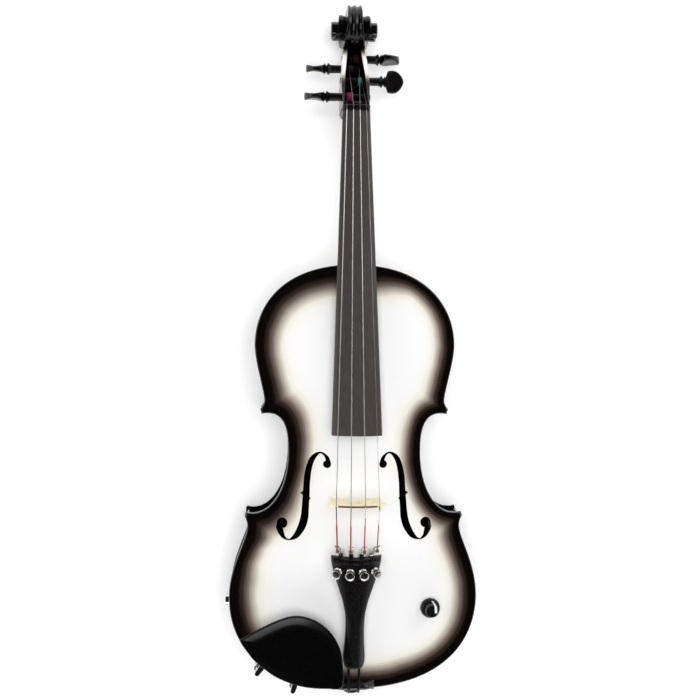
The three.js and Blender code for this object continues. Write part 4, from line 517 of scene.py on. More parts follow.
# %% [markdown]
# A belly is carved, not bent: its height is a bell across the body times a bell along it, and the
# bell is wider in the bouts than in the waist. Near the edge runs a shallow channel, and the rim
# itself is rounded over. The height is therefore one formula of the place and of the distance to
# the outline.

# %% Arching of belly and back
def bell(t):
    return np.where(np.abs(t) < 1, np.cos(np.pi / 2 * np.clip(t, -1, 1))**2, 0)


def arch_half(y):
    low, high = y / BODY_LENGTH - 0.219, y / BODY_LENGTH - 0.81
    low_bell = bell(low / np.where(low < 0, 0.36, 0.3))
    high_bell = bell(high / np.where(high > 0, 0.34, 0.27))
    return WAIST_HALF + (LOWER_HALF - WAIST_HALF) * low_bell + (UPPER_HALF - WAIST_HALF) * high_bell - 6


def arch(x, y):
    along = np.minimum(np.abs(y / BODY_LENGTH - 0.5) * 2 * (1 + 6 / BODY_LENGTH), 1)
    across = np.minimum(np.abs(x) / arch_half(y), 1)
    return bell(along**1.75) * bell(across**1.25)


def belly_top(x, y):
    return BELLY_EDGE + 11.5 * arch(x, y)


def back_low(x, y):
    return 11.0 - 11.0 * arch(x, y)


def edge_relief(d):
    """Rounded rim of 1.4 mm and a channel 7 mm in, in millimetres below the plain arch."""
    rim = 1.4 - np.sqrt(np.maximum(1.4**2 - (1.4 - np.minimum(d, 1.4))**2, 0))
    return rim + 0.55 * np.exp(-((d - 7.5) / 3.2)**2)


print("arch at the bridge", float(belly_top(0, BRIDGE_AT)))

# %% Sound holes
HOLE_INNER = [(0.096, 0.907), (0.136, 0.957), (0.208, 0.976), (0.297, 0.906), (0.35, 0.802), (0.38, 0.655),
              (0.388, 0.5), (0.4, 0.364), (0.411, 0.257), (0.467, 0.141), (0.605, 0.03), (0.775, 0),
              (0.906, 0.032), (1, 0.121), (0.995, 0.182)]
HOLE_OUTER = [(0, 0.875), (0.056, 0.953), (0.2, 1), (0.362, 0.949), (0.444, 0.849), (0.489, 0.728),
              (0.507, 0.6), (0.522, 0.45), (0.556, 0.257), (0.627, 0.128), (0.71, 0.045), (0.775, 0.017),
              (0.84, 0.05), (0.873, 0.128)]


def hole_place(share):
    return np.asarray(share, float) * [44.8, 74.0] + [20.1, 126.0]


def round_line(centre, radius, count=36):
    angle = np.linspace(0, 2 * math.pi, count, endpoint=False)
    return np.stack([centre[0] + radius * np.cos(angle), centre[1] + radius * np.sin(angle)], 1)


inner_edge = bend_through(hole_place(HOLE_INNER), 84)
outer_edge = bend_through(hole_place(HOLE_OUTER), 84)
left, right = hole_place((0.388, 0.5)), hole_place((0.52, 0.5))
notch = np.array([[left[0] - 1.05, 160.9], [left[0] + 1.05, 158.8], [right[0] - 1.05, 163.0],
                  [right[0] + 2.1, 165.1], [right[0] - 1.05, 167.2], [left[0] + 1.05, 163.0]])
HOLE_LINES = [
    np.vstack([inner_edge, outer_edge[::-1]]),
    round_line(hole_place((0.071, 0.862)), 3.3),
    round_line(hole_place((0.893, 0.191)), 4.4),
    notch,
]
HOLE_LINES += [(line * [-1, 1])[::-1] for line in HOLE_LINES]
print("sound hole lines", len(HOLE_LINES))

# %% [markdown]
# Each plate is cut out of a net of small triangles that follows the outline and the sound holes
# exactly. The same net makes the outside and the inside of the plate, and walls join the two along
# every edge, so the plate has its real thickness of three millimetres.

# %% Plates from a net of triangles
def net(outline, holes, step=3.4, near=(0.35, 0.8, 1.4, 2.4, 4.2, 6.6)):
    """Points inside the outline and triangles between them; holes are left open."""
    points, edges = [outline], []
    count = len(outline)
    edges += [(i, (i + 1) % count) for i in range(count)]
    for line in holes:
        edges += [(count + i, count + (i + 1) % len(line)) for i in range(len(line))]
        points.append(line)
        count += len(line)
    for depth in near:
        ring = inset(outline, depth)[:: 1 if depth < 2 else 2]
        points.append(ring[within(outline, ring) & (distance_to(outline, ring) > depth * 0.9)])
    gx, gy = np.meshgrid(np.arange(-105, 106, step), np.arange(0, 370, step * 0.87))
    gx = gx + (np.arange(gx.shape[0]) % 2)[:, None] * step / 2
    field = np.stack([gx.ravel(), gy.ravel()], 1)
    field = field[within(outline, field)]
    field = field[distance_to(outline, field) > near[-1] + 1.2]
    points.append(field)
    flat_points = np.vstack(points)
    got, _, faces, *_ = delaunay_2d_cdt([Vector(p) for p in flat_points.tolist()], edges, [], 0, 1e-4)
    got = np.array([tuple(p) for p in got])
    faces = np.array([f for f in faces if len(f) == 3])
    middle = got[faces].mean(1)
    keep = within(outline, middle)
    for line in holes:
        keep &= ~within(line, middle)
    return got, faces[keep]


SPRAY_AT = [0, 41, 67, 92, 106, 118, 128, 144, 169, 195, 220, 246, 272, 297, 323, 349]
SPRAY_BASS = [1, 1.12, 1.2, 1.16, 0.98, 1.0, 1.25, 1.15, 0.96, 1.0, 1.08, 1.15, 1.08, 1.12, 1.25, 1.32]
SPRAY_TREBLE = [1, 1.04, 1.04, 1.02, 1, 1.02, 1.04, 0.8, 0.84, 0.86, 0.79, 0.92, 0.84, 0.87, 0.76, 0.7]


def spray_width(x, y):
    """How wide the painter's dark edge is there, against its usual width: an uneven hand's work."""
    bass, treble = np.interp(y, SPRAY_AT, SPRAY_BASS), np.interp(y, SPRAY_AT, SPRAY_TREBLE)
    return bass + (treble - bass) * np.clip((x - 18) / 28, 0, 1)


def plate(name, outline, holes, high, low, finish, edge_line, roll):
    """A closed plate: the net at its upper and lower level with walls round every edge."""
    flat_points, faces = net(outline, holes)
    used, faces = np.unique(faces, return_inverse=True)
    flat_points, faces = flat_points[used], faces.reshape(-1, 3)
    a, b, c = flat_points[faces[:, 0]], flat_points[faces[:, 1]], flat_points[faces[:, 2]]
    turned_over = (b - a)[:, 0] * (c - a)[:, 1] - (b - a)[:, 1] * (c - a)[:, 0] < 0
    faces[turned_over] = faces[turned_over][:, ::-1]
    d = distance_to(edge_line, flat_points)
    x, y = flat_points.T
    up = high(x, y) - (edge_relief(d) if roll > 0 else 0)
    down = low(x, y) + (edge_relief(d) if roll < 0 else 0)
    sides = np.vstack([faces[:, [0, 1]], faces[:, [1, 2]], faces[:, [2, 0]]])
    key = np.sort(sides, 1)
    _, first, times = np.unique(key[:, 0] * 10**6 + key[:, 1], return_index=True, return_counts=True)
    rim = sides[first[times == 1]]
    n = len(flat_points)
    points = np.vstack([np.column_stack([flat_points, up]), np.column_stack([flat_points, down])])
    walls = np.stack([rim[:, 1], rim[:, 0], rim[:, 0] + n, rim[:, 1] + n], 1)
    everything = faces.tolist() + (faces[:, ::-1] + n).tolist() + walls.tolist()
    # The outer skin shows the burst; the inner one is painted black as painted shade, so the inside of the body looks
    # dark through the sound holes
    spray = d / spray_width(x, y)
    shown = [spray, 0 * d] if roll > 0 else [0 * d, spray]
    return raw_mesh(name, points, everything, finish, {"edge_mm": np.concatenate(shown)})


belly = plate(
    "belly_plate", OUTLINE, HOLE_LINES, belly_top,
    lambda x, y: np.where(distance_to(OUTLINE, np.column_stack([x, y])) < 5.5, RIB_TOP + 0.02,
                          RIB_TOP + 12.4 * arch(x, y)),
    WHITE_BURST, OUTLINE, 1)
finished(belly, "violin", ["belly"], 40)
print("belly", len(belly.data.polygons), "faces")

# %% Back plate with its button
angle = np.linspace(0, math.pi, 25)
button_line = np.stack([11 * np.cos(angle), BODY_LENGTH + 11 * np.sin(angle)], 1)
head_gap = np.abs(OUTLINE[:, 0]) < 11
top_side = OUTLINE[:, 1] > 300
keep = ~(head_gap & top_side)
start = int(np.argmax(~keep))
BACK_LINE = np.vstack([OUTLINE[:start], button_line, OUTLINE[start:][keep[start:]]])
def rest_level(y):
    """Height in the drawing of the table plane, where the back has worn a small flat."""
    return (5.08087200675412 - y * math.sin(REST_TILT)) / math.cos(REST_TILT)


back = plate("back_plate_arched", BACK_LINE, [], lambda x, y: 15.0 - 10.4 * arch(x, y),
             lambda x, y: np.maximum(back_low(x, y), rest_level(y)), WHITE_BURST, BACK_LINE, -1)
finished(back, "violin", ["back_plate"], 40)
print("back", len(back.data.polygons), "faces")

# %% [markdown]
# The ribs are thin strips bent round the body, 2.7 mm inside the edge of both plates. They are
# black all over. Each bout is one strip with an outer and an inner wall.

# %% Ribs
def rib(name, line, nodes):
    """A strip of 1.3 mm that stands between the plates and follows one bout."""
    outer, inner = inset(line, 2.72, closed=False), inset(line, 3.98, closed=False)
    levels = np.array([RIB_FOOT + 0.02, RIB_FOOT + 4, RIB_TOP - 4, RIB_TOP - 0.02])
    out = np.concatenate([np.repeat(outer[:, None], 4, 1),
                          np.tile(levels[None, :, None], (len(line), 1, 1))], -1)
    into = np.concatenate([np.repeat(inner[:, None], 4, 1),
                           np.tile(levels[None, ::-1, None], (len(line), 1, 1))], -1)
    return finished(skin(name, np.concatenate([out, into], 1), BLACK_GLOSS), "violin", nodes)


for side, way in (("treble", 1), ("bass", -1)):
    for bout_name, line in (("lower", LOWER), ("waist", WAIST), ("upper", UPPER)):
        path = line if way > 0 else (line * [-1, 1])[::-1]
        rib(f"{bout_name}_rib_{side}_strip", path, [f"{bout_name}_rib_{side}"])
print("ribs ready")

# %% [markdown]
# The neck is one piece of wood from the heel to the scroll. Its handle is a half round that swells
# into the heel; its head starts as a chin behind the nut, opens into the pegbox and ends in the
# scroll, a spiral whose ridge grows wider as its turns grow tighter. One family of sections does
# the whole head: a back with two flutes, two cheeks, two rims and, in the pegbox, a floor between
# them.

# %% Neck handle and heel
def board_top(y):
    return 64.0 - 0.1256 * (y - BODY_LENGTH)


def board_half(y):
    return 11.5 + (20.6 - 11.5) * (NUT_AT - y) / 270.0


def sag(x, radius=42.0):
    return radius - np.sqrt(radius**2 - np.square(x))


def board_foot(y):
    return board_top(y) - sag(board_half(y)) - 5.0


def neck_top(y):
    return board_foot(y) - 0.3


def neck_ring(y, top_half, foot_half, depth, power, count=33):
    """Half a superellipse: side and depth are powers of cosine and sine."""
    angle = np.linspace(0, math.pi, count)
    down = np.sin(angle)**(2 / power)
    side = np.sign(np.cos(angle)) * np.abs(np.cos(angle))**(2 / power)
    half = top_half + (foot_half - top_half) * down
    return np.stack([side * half, np.full(count, y), neck_top(y) - depth * down], -1)


heel_y = 356.3 + 15 * np.array([1.87, 1.5, 1.12, 0.9, 0.78, 0.7, 0.64, 0.0])
heel_deep = np.array([0.0, 0.1, 0.28, 0.5, 0.75, 0.94, 1.0, 1.0])
neck_rows = []
for y in np.linspace(491.1, 385.0, 30):
    share = (491.1 - y) / (491.1 - 384.3)
    half = board_half(min(y, NUT_AT)) - 0.2
    neck_rows.append(neck_ring(y, half, half * 0.97, 11.9 + 1.5 * share * 0.8, 2.1))
for y in np.concatenate([np.linspace(383.6, 366.8, 26), np.linspace(366.0, 356.4, 4)]):
    deep = float(np.interp(-y, -heel_y, heel_deep))
    half = board_half(y) - 0.2
    foot_half = half + deep * (11 * 0.97 - half)
    depth = 13.4 + deep * (neck_top(y) - 15.3 - 13.4)
    neck_rows.append(neck_ring(y, half, foot_half, depth, 2.1 + 2.2 * deep))
neck_rows = np.array(neck_rows)
neck_edge = np.minimum(np.abs(neck_rows[..., 1] - 356), np.abs(neck_rows[..., 1] - 492)) * 0.55 + 2
neck = skin("neck_handle", neck_rows, WHITE_BURST, values={"edge_mm": neck_edge.ravel()})
print("neck", len(neck.data.polygons), "faces")

# %% Head and scroll sections
EYE = np.array([564.2, board_top(NUT_AT) - 38.7])
EYE_HALF, SCROLL_RADIUS = 20.5, 21.5
HEAD = [
    ((-0.055, -0.215), (0.02, -0.105), 0.3, 0.5, 0), ((-0.045, -0.278), (0.04, -0.108), 0.54, 0.53, 0.2),
    ((0.012, -0.337), (0.079, -0.113), 0.63, 0.54, 0.7), ((0.03, -0.346), (0.084, -0.03), 0.635, 0.54, 0.8),
    ((0.152, -0.415), (0.19, -0.102), 0.64, 0.57, 1), ((0.379, -0.549), (0.4, -0.222), 0.615, 0.585, 1),
    ((0.6, -0.67), (0.6, -0.335), 0.54, 0.535, 1), ((0.76, -0.752), (0.76, -0.428), 0.465, 0.46, 1),
    ((0.85, -0.776), (0.85, -0.48), 0.43, 0.44, 1),
]


EYE_REACH = 79.2


def head_point(pair):
    """A point of the head's side view, from shares of the reach from nut to eye."""
    return np.array([NUT_AT + pair[0] * EYE_REACH, board_top(NUT_AT) + pair[1] * EYE_REACH])


def spiral_radius(angle):
    """A radius that shrinks by the same share at each turn of the angle."""
    return SCROLL_RADIUS * np.exp(-angle * np.where(angle < 0, 0.07, 0.084))


def ridge_half(angle):
    eighth = (angle + math.pi / 2) / (math.pi / 4)
    return EYE_HALF * np.interp(eighth, [0, 2, 4, 6, 7, 8, 10, 12, 13, 14, 15, 18],
                                [0.4, 0.278, 0.32, 0.5, 0.62, 0.645, 0.65, 0.69, 0.78, 0.9, 0.97, 0.99])


ACROSS = np.concatenate([[1, 0.97, 0.93], np.linspace(0.88, -0.88, 27), [-0.93, -0.97, -1]])


def head_ring(back_at, front_at, back_half, front_half, flute, hollow_half=4.0, hollow_deep=0.0, roll=1.2):
    """Back with two flutes, cheek, rim, pegbox floor, rim and cheek, as one closed ring."""
    back_at, front_at = np.asarray(back_at, float), np.asarray(front_at, float)
    run = front_at - back_at
    deep = np.linalg.norm(run)
    run = run / deep
    bevel = np.clip((np.abs(ACROSS) - 0.88) / 0.12, 0, 1)**2 * roll
    groove = flute * np.sin(np.pi * np.clip(np.abs(ACROSS) / 0.88, 0, 1))**1.6
    back_line = back_at + (bevel + groove)[:, None] * run
    x_back = ACROSS * back_half
    cheek = np.linspace(0.12, 0.94, 7)
    x_cheek = -(back_half + (front_half - back_half) * cheek)
    cheek_line = back_at + run * (deep * cheek)[:, None] + 0
    rim = np.array([[-front_half, 0.5], [-front_half + 0.5, 0.0], [-hollow_half - 0.4, 0.0],
                    [-hollow_half, 0.4], [-hollow_half * 0.97, hollow_deep * 0.45],
                    [-hollow_half * 0.92, hollow_deep * 0.85],
                    [-hollow_half * 0.78, hollow_deep], [0, hollow_deep]])
    rim[4:, 1] = np.maximum(rim[4:, 1], 0.05)
    if hollow_deep < 0.3:
        rim[3:, 1] = 0.0
    rim = np.vstack([rim, (rim * [-1, 1])[::-1][1:]])
    rim_line = front_at - run * rim[:, 1:]
    x = np.concatenate([x_back, x_cheek, rim[:, 0], -x_cheek[::-1]])
    line = np.vstack([back_line, cheek_line, rim_line, cheek_line[::-1]])
    return np.column_stack([x, line])


reach = np.linspace(0, len(HEAD) - 1, 97)
backs = bend_through([head_point(row[0]) for row in HEAD], 96)
fronts = bend_through([head_point(row[1]) for row in HEAD], 96)
halves = bend_through([row[2:5] for row in HEAD], 96)
rows = []
for where, back_at, front_at, (back_half, front_half, flute) in zip(reach, backs, fronts, halves):
    opened = float(np.clip((where - 3.15) / 0.12, 0, 1) * np.clip((7.72 - where) / 0.9, 0, 1)**0.6)
    deep = max(np.linalg.norm(front_at - back_at) - 6.5, 0) * opened
    inner = max(back_half * EYE_HALF - 4 + 0.9 * max(0, 1 - (where - 3) / 2), 3)
    rows.append(head_ring(back_at, front_at, back_half * EYE_HALF, front_half * EYE_HALF,
                          max(flute, 0) * 1.2, min(inner, front_half * EYE_HALF - 1.4), deep))
turn_steps = np.arange(1, 157)
for step in turn_steps:
    angle = -math.pi / 2 + step * math.pi / 36
    out = EYE + spiral_radius(angle) * np.array([math.cos(angle), math.sin(angle)])
    half = float(ridge_half(angle))
    fade = float(np.clip((150 - step) / 50, 0, 1))
    rows.append(head_ring(out, EYE, half, min(half * 1.12, EYE_HALF), 1.25 * fade, roll=0.45))
rows = np.array(rows)
print("head sections", rows.shape)

# %% Head as one surface
def head_edge(points):
    """White on the pegbox's cheeks and back; black at the nut, in the hollow and on the scroll."""
    y = points[..., 1]
    white = np.clip(np.minimum((y - 507.0) * 1.5, (550.0 - y) * 2.0), 0, 40)
    white[:, 43:52] = 0.0
    return white


rows[..., 2] = np.maximum(rows[..., 2], rest_level(rows[..., 1]))
head = skin("head_and_scroll", rows, HEAD_BURST, values={"edge_mm": head_edge(rows).ravel()})
finished(neck, "violin", ["neck_and_scroll"], 40)
finished(head, "violin", ["neck_and_scroll"], 40)
eye_profile = [(0, 0), (3.5, 0), (5.9, 0.25), (6.7, 1.0), (6.7, 40.0), (5.9, 40.75), (3.5, 41.0), (0, 41.0)]
eyes = turned("scroll_eyes", eye_profile, BLACK_GLOSS, (-EYE_HALF, *EYE), (1, 0, 0))
finished(eyes, "violin", [])
print("head", len(head.data.polygons), "faces")

# %% [markdown]
# The fingerboard is a long wedge, round on top and hollowed underneath where it stands free over
# the belly. Its long edges are eased so that the hand slides.

# %% Fingerboard, nut and saddle
def board_ring(share):
    y = NUT_AT - share * 270.0
    half = board_half(y)
    x = np.sin(np.linspace(-math.pi / 2, math.pi / 2, 41)) * half
    ease = 0.5 * np.clip((np.abs(x) - (half - 0.8)) / 0.8, 0, 1)**2
    top = np.stack([x, np.full(41, y), board_top(y) - sag(x) - ease], -1)
    side = np.linspace(1, -1, 25)
    free = np.clip((share - 0.478) * 15, 0, 1)
    rise = np.maximum(0, 1 - (side / 0.82)**2) * 3.4 * free
    low = np.stack([side * half, np.full(25, y), board_foot(y) + rise + 0.4 * (np.abs(side) > 0.99)], -1)
    return np.vstack([top, low])


stations = np.concatenate([[0, 0.001], np.linspace(0.01, 0.47, 14), np.linspace(0.478, 0.55, 12),
                           np.linspace(0.57, 0.995, 18), [0.9985, 1.0]])
board_rows = np.array([board_ring(share) for share in stations])
board_rows[0, :, 2] -= 0.25 * (board_rows[0, :, 2] > board_rows[0, :, 2].mean())
board_rows[-1] = board_rows[-1] * [0.985, 1, 1]
finished(skin("fingerboard_wedge", board_rows, BOARD_EBONY), "violin", ["fingerboard"], 30)


def rounded_bar(name, x_line, profile_of, finish, node):
    """A bar across the strings: the same side profile at each x, with its own height there."""
    rings = np.array([[(x, y, z) for y, z in profile_of(x)] for x in x_line])
    return finished(skin(name, rings, finish), "violin", [node], 30)


def nut_profile(x):
    """Flat towards the board, rounded over towards the pegbox."""
    top = board_top(NUT_AT) + 0.5 - float(sag(x)) - (0.9 if abs(x) > 11.2 else 0)
    angle = np.linspace(0, math.pi / 2, 9)
    foot = neck_top(NUT_AT) + 0.45
    round_over = [(NUT_AT + 3.4 + 2.4 * math.sin(a), top - 1.6 * (1 - math.cos(a))) for a in angle]
    return [(NUT_AT + 0.3, foot), (NUT_AT + 0.3, top - 0.2), (NUT_AT + 0.5, top), *round_over,
            (NUT_AT + 5.8, foot)]


def saddle_profile(x):
    """Highest in the middle and rolled down to the belly at both ends."""
    fall = 5.2 * np.clip((abs(x) - 8.7) / 8.8, 0, 1)**1.6
    top = 58.0 - float(fall)
    line = [(0.05, 46.3), (0.05, min(50.2, top - 3)), (0.9, top - 3.2), (2.2, top - 0.9), (3.4, top - 0.1),
            (4.4, top), (5.8, top - 0.9), (7.1, top - 3.0), (7.6, min(52.4, top - 3.2)), (7.6, 46.3)]
    return line


rounded_bar("nut_bar", np.array([-11.5, -11.3, -10, -8, -5, -2, 0, 2, 5, 8, 10, 11.3, 11.5]), nut_profile, EBONY,
            "nut")
rounded_bar("saddle_bar", np.linspace(-17.5, 17.5, 41), saddle_profile, EBONY, "saddle")
print("board, nut and saddle ready")

# %% [markdown]
# Each peg is turned from one stick: a tapered shank, a ringed collar, then a thumb piece whose
# face is a rounded heart and whose edge is thin, with a waist. The four pegs stand at the angles
# at which a player left them, so some show the face and some the edge.

# %% Pegs
PEGS = {"low": (0.207, -0.283, -1, 82), "third": (0.562, -0.478, -1, 76),
        "second": (0.694, -0.548, 1, 86), "high": (0.41, -0.388, 1, 6)}
THUMB_FACE = [(0, 0.3), (0.05, 0.38), (0.1, 0.62), (0.15, 0.88), (0.22, 0.97), (0.36, 1), (0.52, 0.98),
              (0.68, 0.87), (0.84, 0.62), (0.94, 0.34), (1, 0.02)]
THUMB_EDGE = [(0, 0.9), (0.1, 0.98), (0.3, 0.8), (0.5, 0.68), (0.65, 0.66), (0.85, 0.78), (0.95, 0.8), (1, 0.5)]
COLLAR = [(0.76, 0), (0.84, 0.12), (1.1, 0.4), (1.08, 0.47), (0.66, 0.66), (0.64, 0.74), (1.06, 0.95), (1.0, 1)]
cheek_line = bend_through([(row[0][0], row[2] * EYE_HALF) for row in HEAD[3:]], 60)


class Peg:
    """Where a peg stands and how thick it is at any place across the pegbox."""

    def __init__(self, own):
        self.reach, self.drop, self.side, self.turn = PEGS[own]
        self.y, self.z = head_point((self.reach, self.drop))
        self.cheek = float(cheek_line[np.argmin(np.abs(cheek_line[:, 0] - self.reach)), 1])
        self.inner = self.cheek - 4.0

    def radius(self, x):
        return 3.7 - 0.022 * (self.cheek + 13 - x * self.side)

    def placed(self, points):
        """From the peg's own stick, with its head on +X, to its place in the drawing."""
        return points * [self.side, self.side, 1] + [0, self.y, self.z]


def thumb_rings(peg, start):
    wide = bend_through(THUMB_FACE, 72)
    thick = bend_through(THUMB_EDGE, 72)
    share = 0.5 - 0.5 * np.cos(np.linspace(0, math.pi, 46))
    half = np.interp(share, wide[:, 0], wide[:, 1]) * 9.8
    edge = np.interp(share, thick[:, 0], thick[:, 1]) * 4.3
    around = np.linspace(0, 2 * math.pi, 48, endpoint=False)
    c, s = np.cos(around), np.sin(around)
    y = half[:, None] * np.sign(c) * np.abs(c)**0.82
    z = edge[:, None] * np.sign(s) * np.abs(s)**0.7 * (1 - 0.22 * s**4 * np.minimum(half / 9.8, 1)[:, None])
    a = math.radians(peg.turn)
    x = start + 16.6 * share[:, None] + 0 * y
    return np.stack([x, y * math.cos(a) - z * math.sin(a), y * math.sin(a) + z * math.cos(a)], -1)


for own in PEGS:
    peg = Peg(own)
    out = peg.cheek + 13 - 3.2
    profile = [(0, -(peg.cheek + 0.2)), (peg.radius(-peg.cheek * peg.side) - 0.5, -(peg.cheek + 0.2)),
               (peg.radius(-peg.cheek * peg.side), -(peg.cheek - 0.3)),
               (peg.radius(out * peg.side), out - 1.2)]
    collar = [(r * 4.7, out + along * 5.4 - 0.9) for r, along in COLLAR]
    profile += [tuple(pair) for pair in collar] + [(0, out + 3.2)]
    angle = np.linspace(0, 2 * math.pi, 40, endpoint=False)
    rings = np.array([[(along, r * math.cos(a), r * math.sin(a)) for a in angle]
                      for r, along in ((max(r, 0.001), along) for r, along in profile)])
    finished(skin(f"peg_{own}_stick", peg.placed(rings), EBONY), f"peg_{own}", [f"peg_{own}"])
    finished(skin(f"peg_{own}_thumb", peg.placed(thumb_rings(peg, out + 4.1)), EBONY), f"peg_{own}",
             [f"peg_{own}"], 60)
print("pegs ready")

# %% [markdown]
# A string is drawn in four stretches: a tail whose ball alone moves with the fine tuner's lever, a
# clear span over the bridge and the board, a silk whipping from the nut to the peg, and the turns on
# the peg, which turn with it.

# %% Strings
TAIL_LEAN = math.atan((83.8 - 60.2) / 101.0)
STRINGS = {"low": (-1.5, 0.42, 0.74), "third": (-0.5, 0.4, 0.64), "second": (0.5, 0.35, 0.72),
           "high": (1.5, 0.2, 0.7)}
BRIDGE_FOOT = float(belly_top(0, BRIDGE_AT))
BRIDGE_CREST = BRIDGE_FOOT + 33.0


def from_tail(points):
    """From the tailpiece's own frame, its top at zero and its front edge at zero, to the drawing."""
    points = np.asarray(points, float)
    c, s = math.cos(TAIL_LEAN), math.sin(TAIL_LEAN)
    y = points[..., 1] * c - points[..., 2] * s + 118.0
    z = points[..., 1] * s + points[..., 2] * c + 83.8
    return np.stack([points[..., 0], y, z], -1)


def from_tuner(points, share):
    """From a fine tuner's own frame to the drawing: swung round the middle of the tailpiece's arch."""
    points = np.asarray(points, float)
    c, s = math.cos(share * 0.236), math.sin(share * 0.236)
    x = points[..., 0] * c + (points[..., 2] + 42.0) * s
    z = -points[..., 0] * s + (points[..., 2] + 42.0) * c - 42.0
    return from_tail(np.stack([x, points[..., 1] - 13.2, z], -1))


def string_tube(name, path, radius, finish, sides=10):
    """A tube along a path that keeps on each point its distance from the start, in metres."""
    path = np.asarray(path, float)
    along = np.concatenate([[0], np.cumsum(np.linalg.norm(np.diff(path, axis=0), axis=1))]) / 1000
    rings = tube_rings(path, radius, sides)
    return skin(name, rings, finish, values={"along_m": np.repeat(along, sides)})


def straight(a, b, count):
    return np.asarray(a, float) + np.linspace(0, 1, count)[:, None] * (np.asarray(b, float) - a)


CRIMSON, INK, BARE, LEAF = (0.3, 0.012, 0.022), (0.012, 0.01, 0.016), (0.5, 0.5, 0.5), (0.02, 0.2, 0.07)
TAIL_COLOURS = {
    "low": [(0.0, CRIMSON), (0.66, CRIMSON), (0.74, INK), (1.0, (0.02, 0.02, 0.05))],
    "third": [(0.0, CRIMSON), (0.58, CRIMSON), (0.68, (0.06, 0.045, 0.03)), (1.0, (0.12, 0.11, 0.05))],
    "second": [(0.0, CRIMSON), (0.63, CRIMSON), (0.65, INK), (0.73, INK), (0.75, BARE), (1.0, BARE)],
    "high": [(0.0, CRIMSON), (0.66, CRIMSON), (0.68, BARE), (0.88, BARE), (0.9, LEAF), (1.0, LEAF)],
}


def tail_silk(own, length):
    """Silk over the string's end: colours by the share of the way from the ball to the bridge."""
    made = plain_finish(f"tail_silk_{own}", CRIMSON, 0.5)
    place = made.node_tree.nodes.new("ShaderNodeAttribute")
    place.attribute_name = "along_m"
    link(made, ramp(made, ranged(made, place.outputs["Fac"], 0.0, length / 1000, 0.0, 1.0), TAIL_COLOURS[own]),
         "Base Color")
    line = add(made, "ShaderNodeCombineXYZ")
    made.node_tree.links.new(place.outputs["Fac"], line.inputs["X"])
    threads = add(made, "ShaderNodeTexWave", Vector=line.outputs["Vector"], Scale=210.0)
    bump(made, threads.outputs["Fac"], 0.00005, 0.6)
    return made


for own, (place, radius, start_share) in STRINGS.items():
    peg = Peg(own)
    at_bridge, at_nut = place * 11.6, place * 5.5
    crest = np.array([at_bridge, BRIDGE_AT, BRIDGE_CREST - float(sag(at_bridge, 41.5)) + radius + 0.1])
    nut_level = board_top(NUT_AT) + 0.5 - float(sag(at_nut)) + radius + 0.1
    nut_front = np.array([at_nut, NUT_AT + 0.5, nut_level])
    nut_back = np.array([at_nut, NUT_AT + 4.6, nut_level - 0.1])
    wrap = peg.radius(0) + 0.2 + radius
    to_peg = np.array([peg.y - nut_back[1], peg.z - nut_back[2]])
    apart = float(np.hypot(*to_peg))
    arrive = math.atan2(to_peg[1], to_peg[0]) + math.pi - math.acos(wrap / apart)
    begin = peg.side * start_share * peg.inner
    pitch = 2 * radius + 0.12
    turns = 4 if own == "third" else 5
    step = np.arange(turns * 28 + 1)
    across = begin - peg.side * pitch * step / 28
    reach = peg.radius(across) + 0.15 + radius
    round_peg = arrive - step / 28 * 2 * math.pi
    winding = np.stack([across, peg.y + reach * np.cos(round_peg), peg.z + reach * np.sin(round_peg)], -1)
    inwards = np.array([0, peg.y - winding[-1, 1], peg.z - winding[-1, 2]])
    inwards /= np.linalg.norm(inwards)
    winding = np.vstack([winding, winding[-1] + inwards * 0.8, winding[-1] + inwards * 1.9])
    turn_radius = radius + (0.12 if own == "high" else 0.03)
    finished(string_tube(f"string_{own}_turns", winding, turn_radius, SILKS[own], 9), f"peg_{own}",
             [f"string_{own}"])
    middle = nut_back + (winding[0] - nut_back) * 0.84
    over_nut = np.vstack([nut_front, nut_front + [0, 1.5, 0.02], straight(nut_back, middle, 30)])
    silk = straight(middle, winding[0], 8)
    finish = PLAIN_STEEL if own == "high" else WOUND_STEEL
    span = straight(crest, nut_front, 110)
    finished(string_tube(f"string_{own}_lead_in", over_nut, radius * 0.85, DULL_STEEL), "violin", [f"string_{own}"])
    finished(string_tube(f"string_{own}_span", span, radius, finish), "violin", [f"string_{own}"])
    finished(string_tube(f"string_{own}_silk", silk, turn_radius, SILKS[own]), "violin", [f"string_{own}"])
    ball = from_tuner([0, 8.5 + 10.6, 2.4 + 0.3 + 1.5], place)
    ahead = (crest - ball) / np.linalg.norm(crest - ball)
    tail = np.vstack([straight(ball + ahead * 0.6, crest, 40)])
    from_ball = np.linspace(0, 1, 40)
    swell = radius + (0.2 if own != "high" else 0.28) * np.clip((0.62 - from_ball) * 12, 0, 1)
    if own == "high":
        swell += 0.35 * np.clip((from_ball - 0.88) * 30, 0, 1)
    tail_end = string_tube(f"string_{own}_tail", tail, radius, tail_silk(own, np.linalg.norm(crest - ball)))
    rings = tube_rings(tail, swell, 10)
    tail_end.data.vertices.foreach_set("co", on_table(np.vstack([
        rings.reshape(-1, 3), rings[0].mean(0), rings[-1].mean(0)])).ravel())
    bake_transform(tail_end)
    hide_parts(f"string_{own}")
    tail_end.data.shade_smooth()
    bead = turned(f"string_{own}_ball", [(0.45, -1.3), (1.3, -1.3), (1.5, -1.0), (1.25, 0),
                                        (1.5, 1.0), (1.3, 1.3), (0.45, 1.3)],
                  BALL_METAL, ball, (1, 0, 0), 28)
    finished(bead, f"lever_{own}", [f"string_{own}"])
print("strings ready")

# %% [markdown]
# The bridge is a thin leaf of maple that stands on the belly and carries the strings. Its outline,
# its heart and its two side cuts come from splines, and its edges are chamfered all round, also
# inside the cuts.

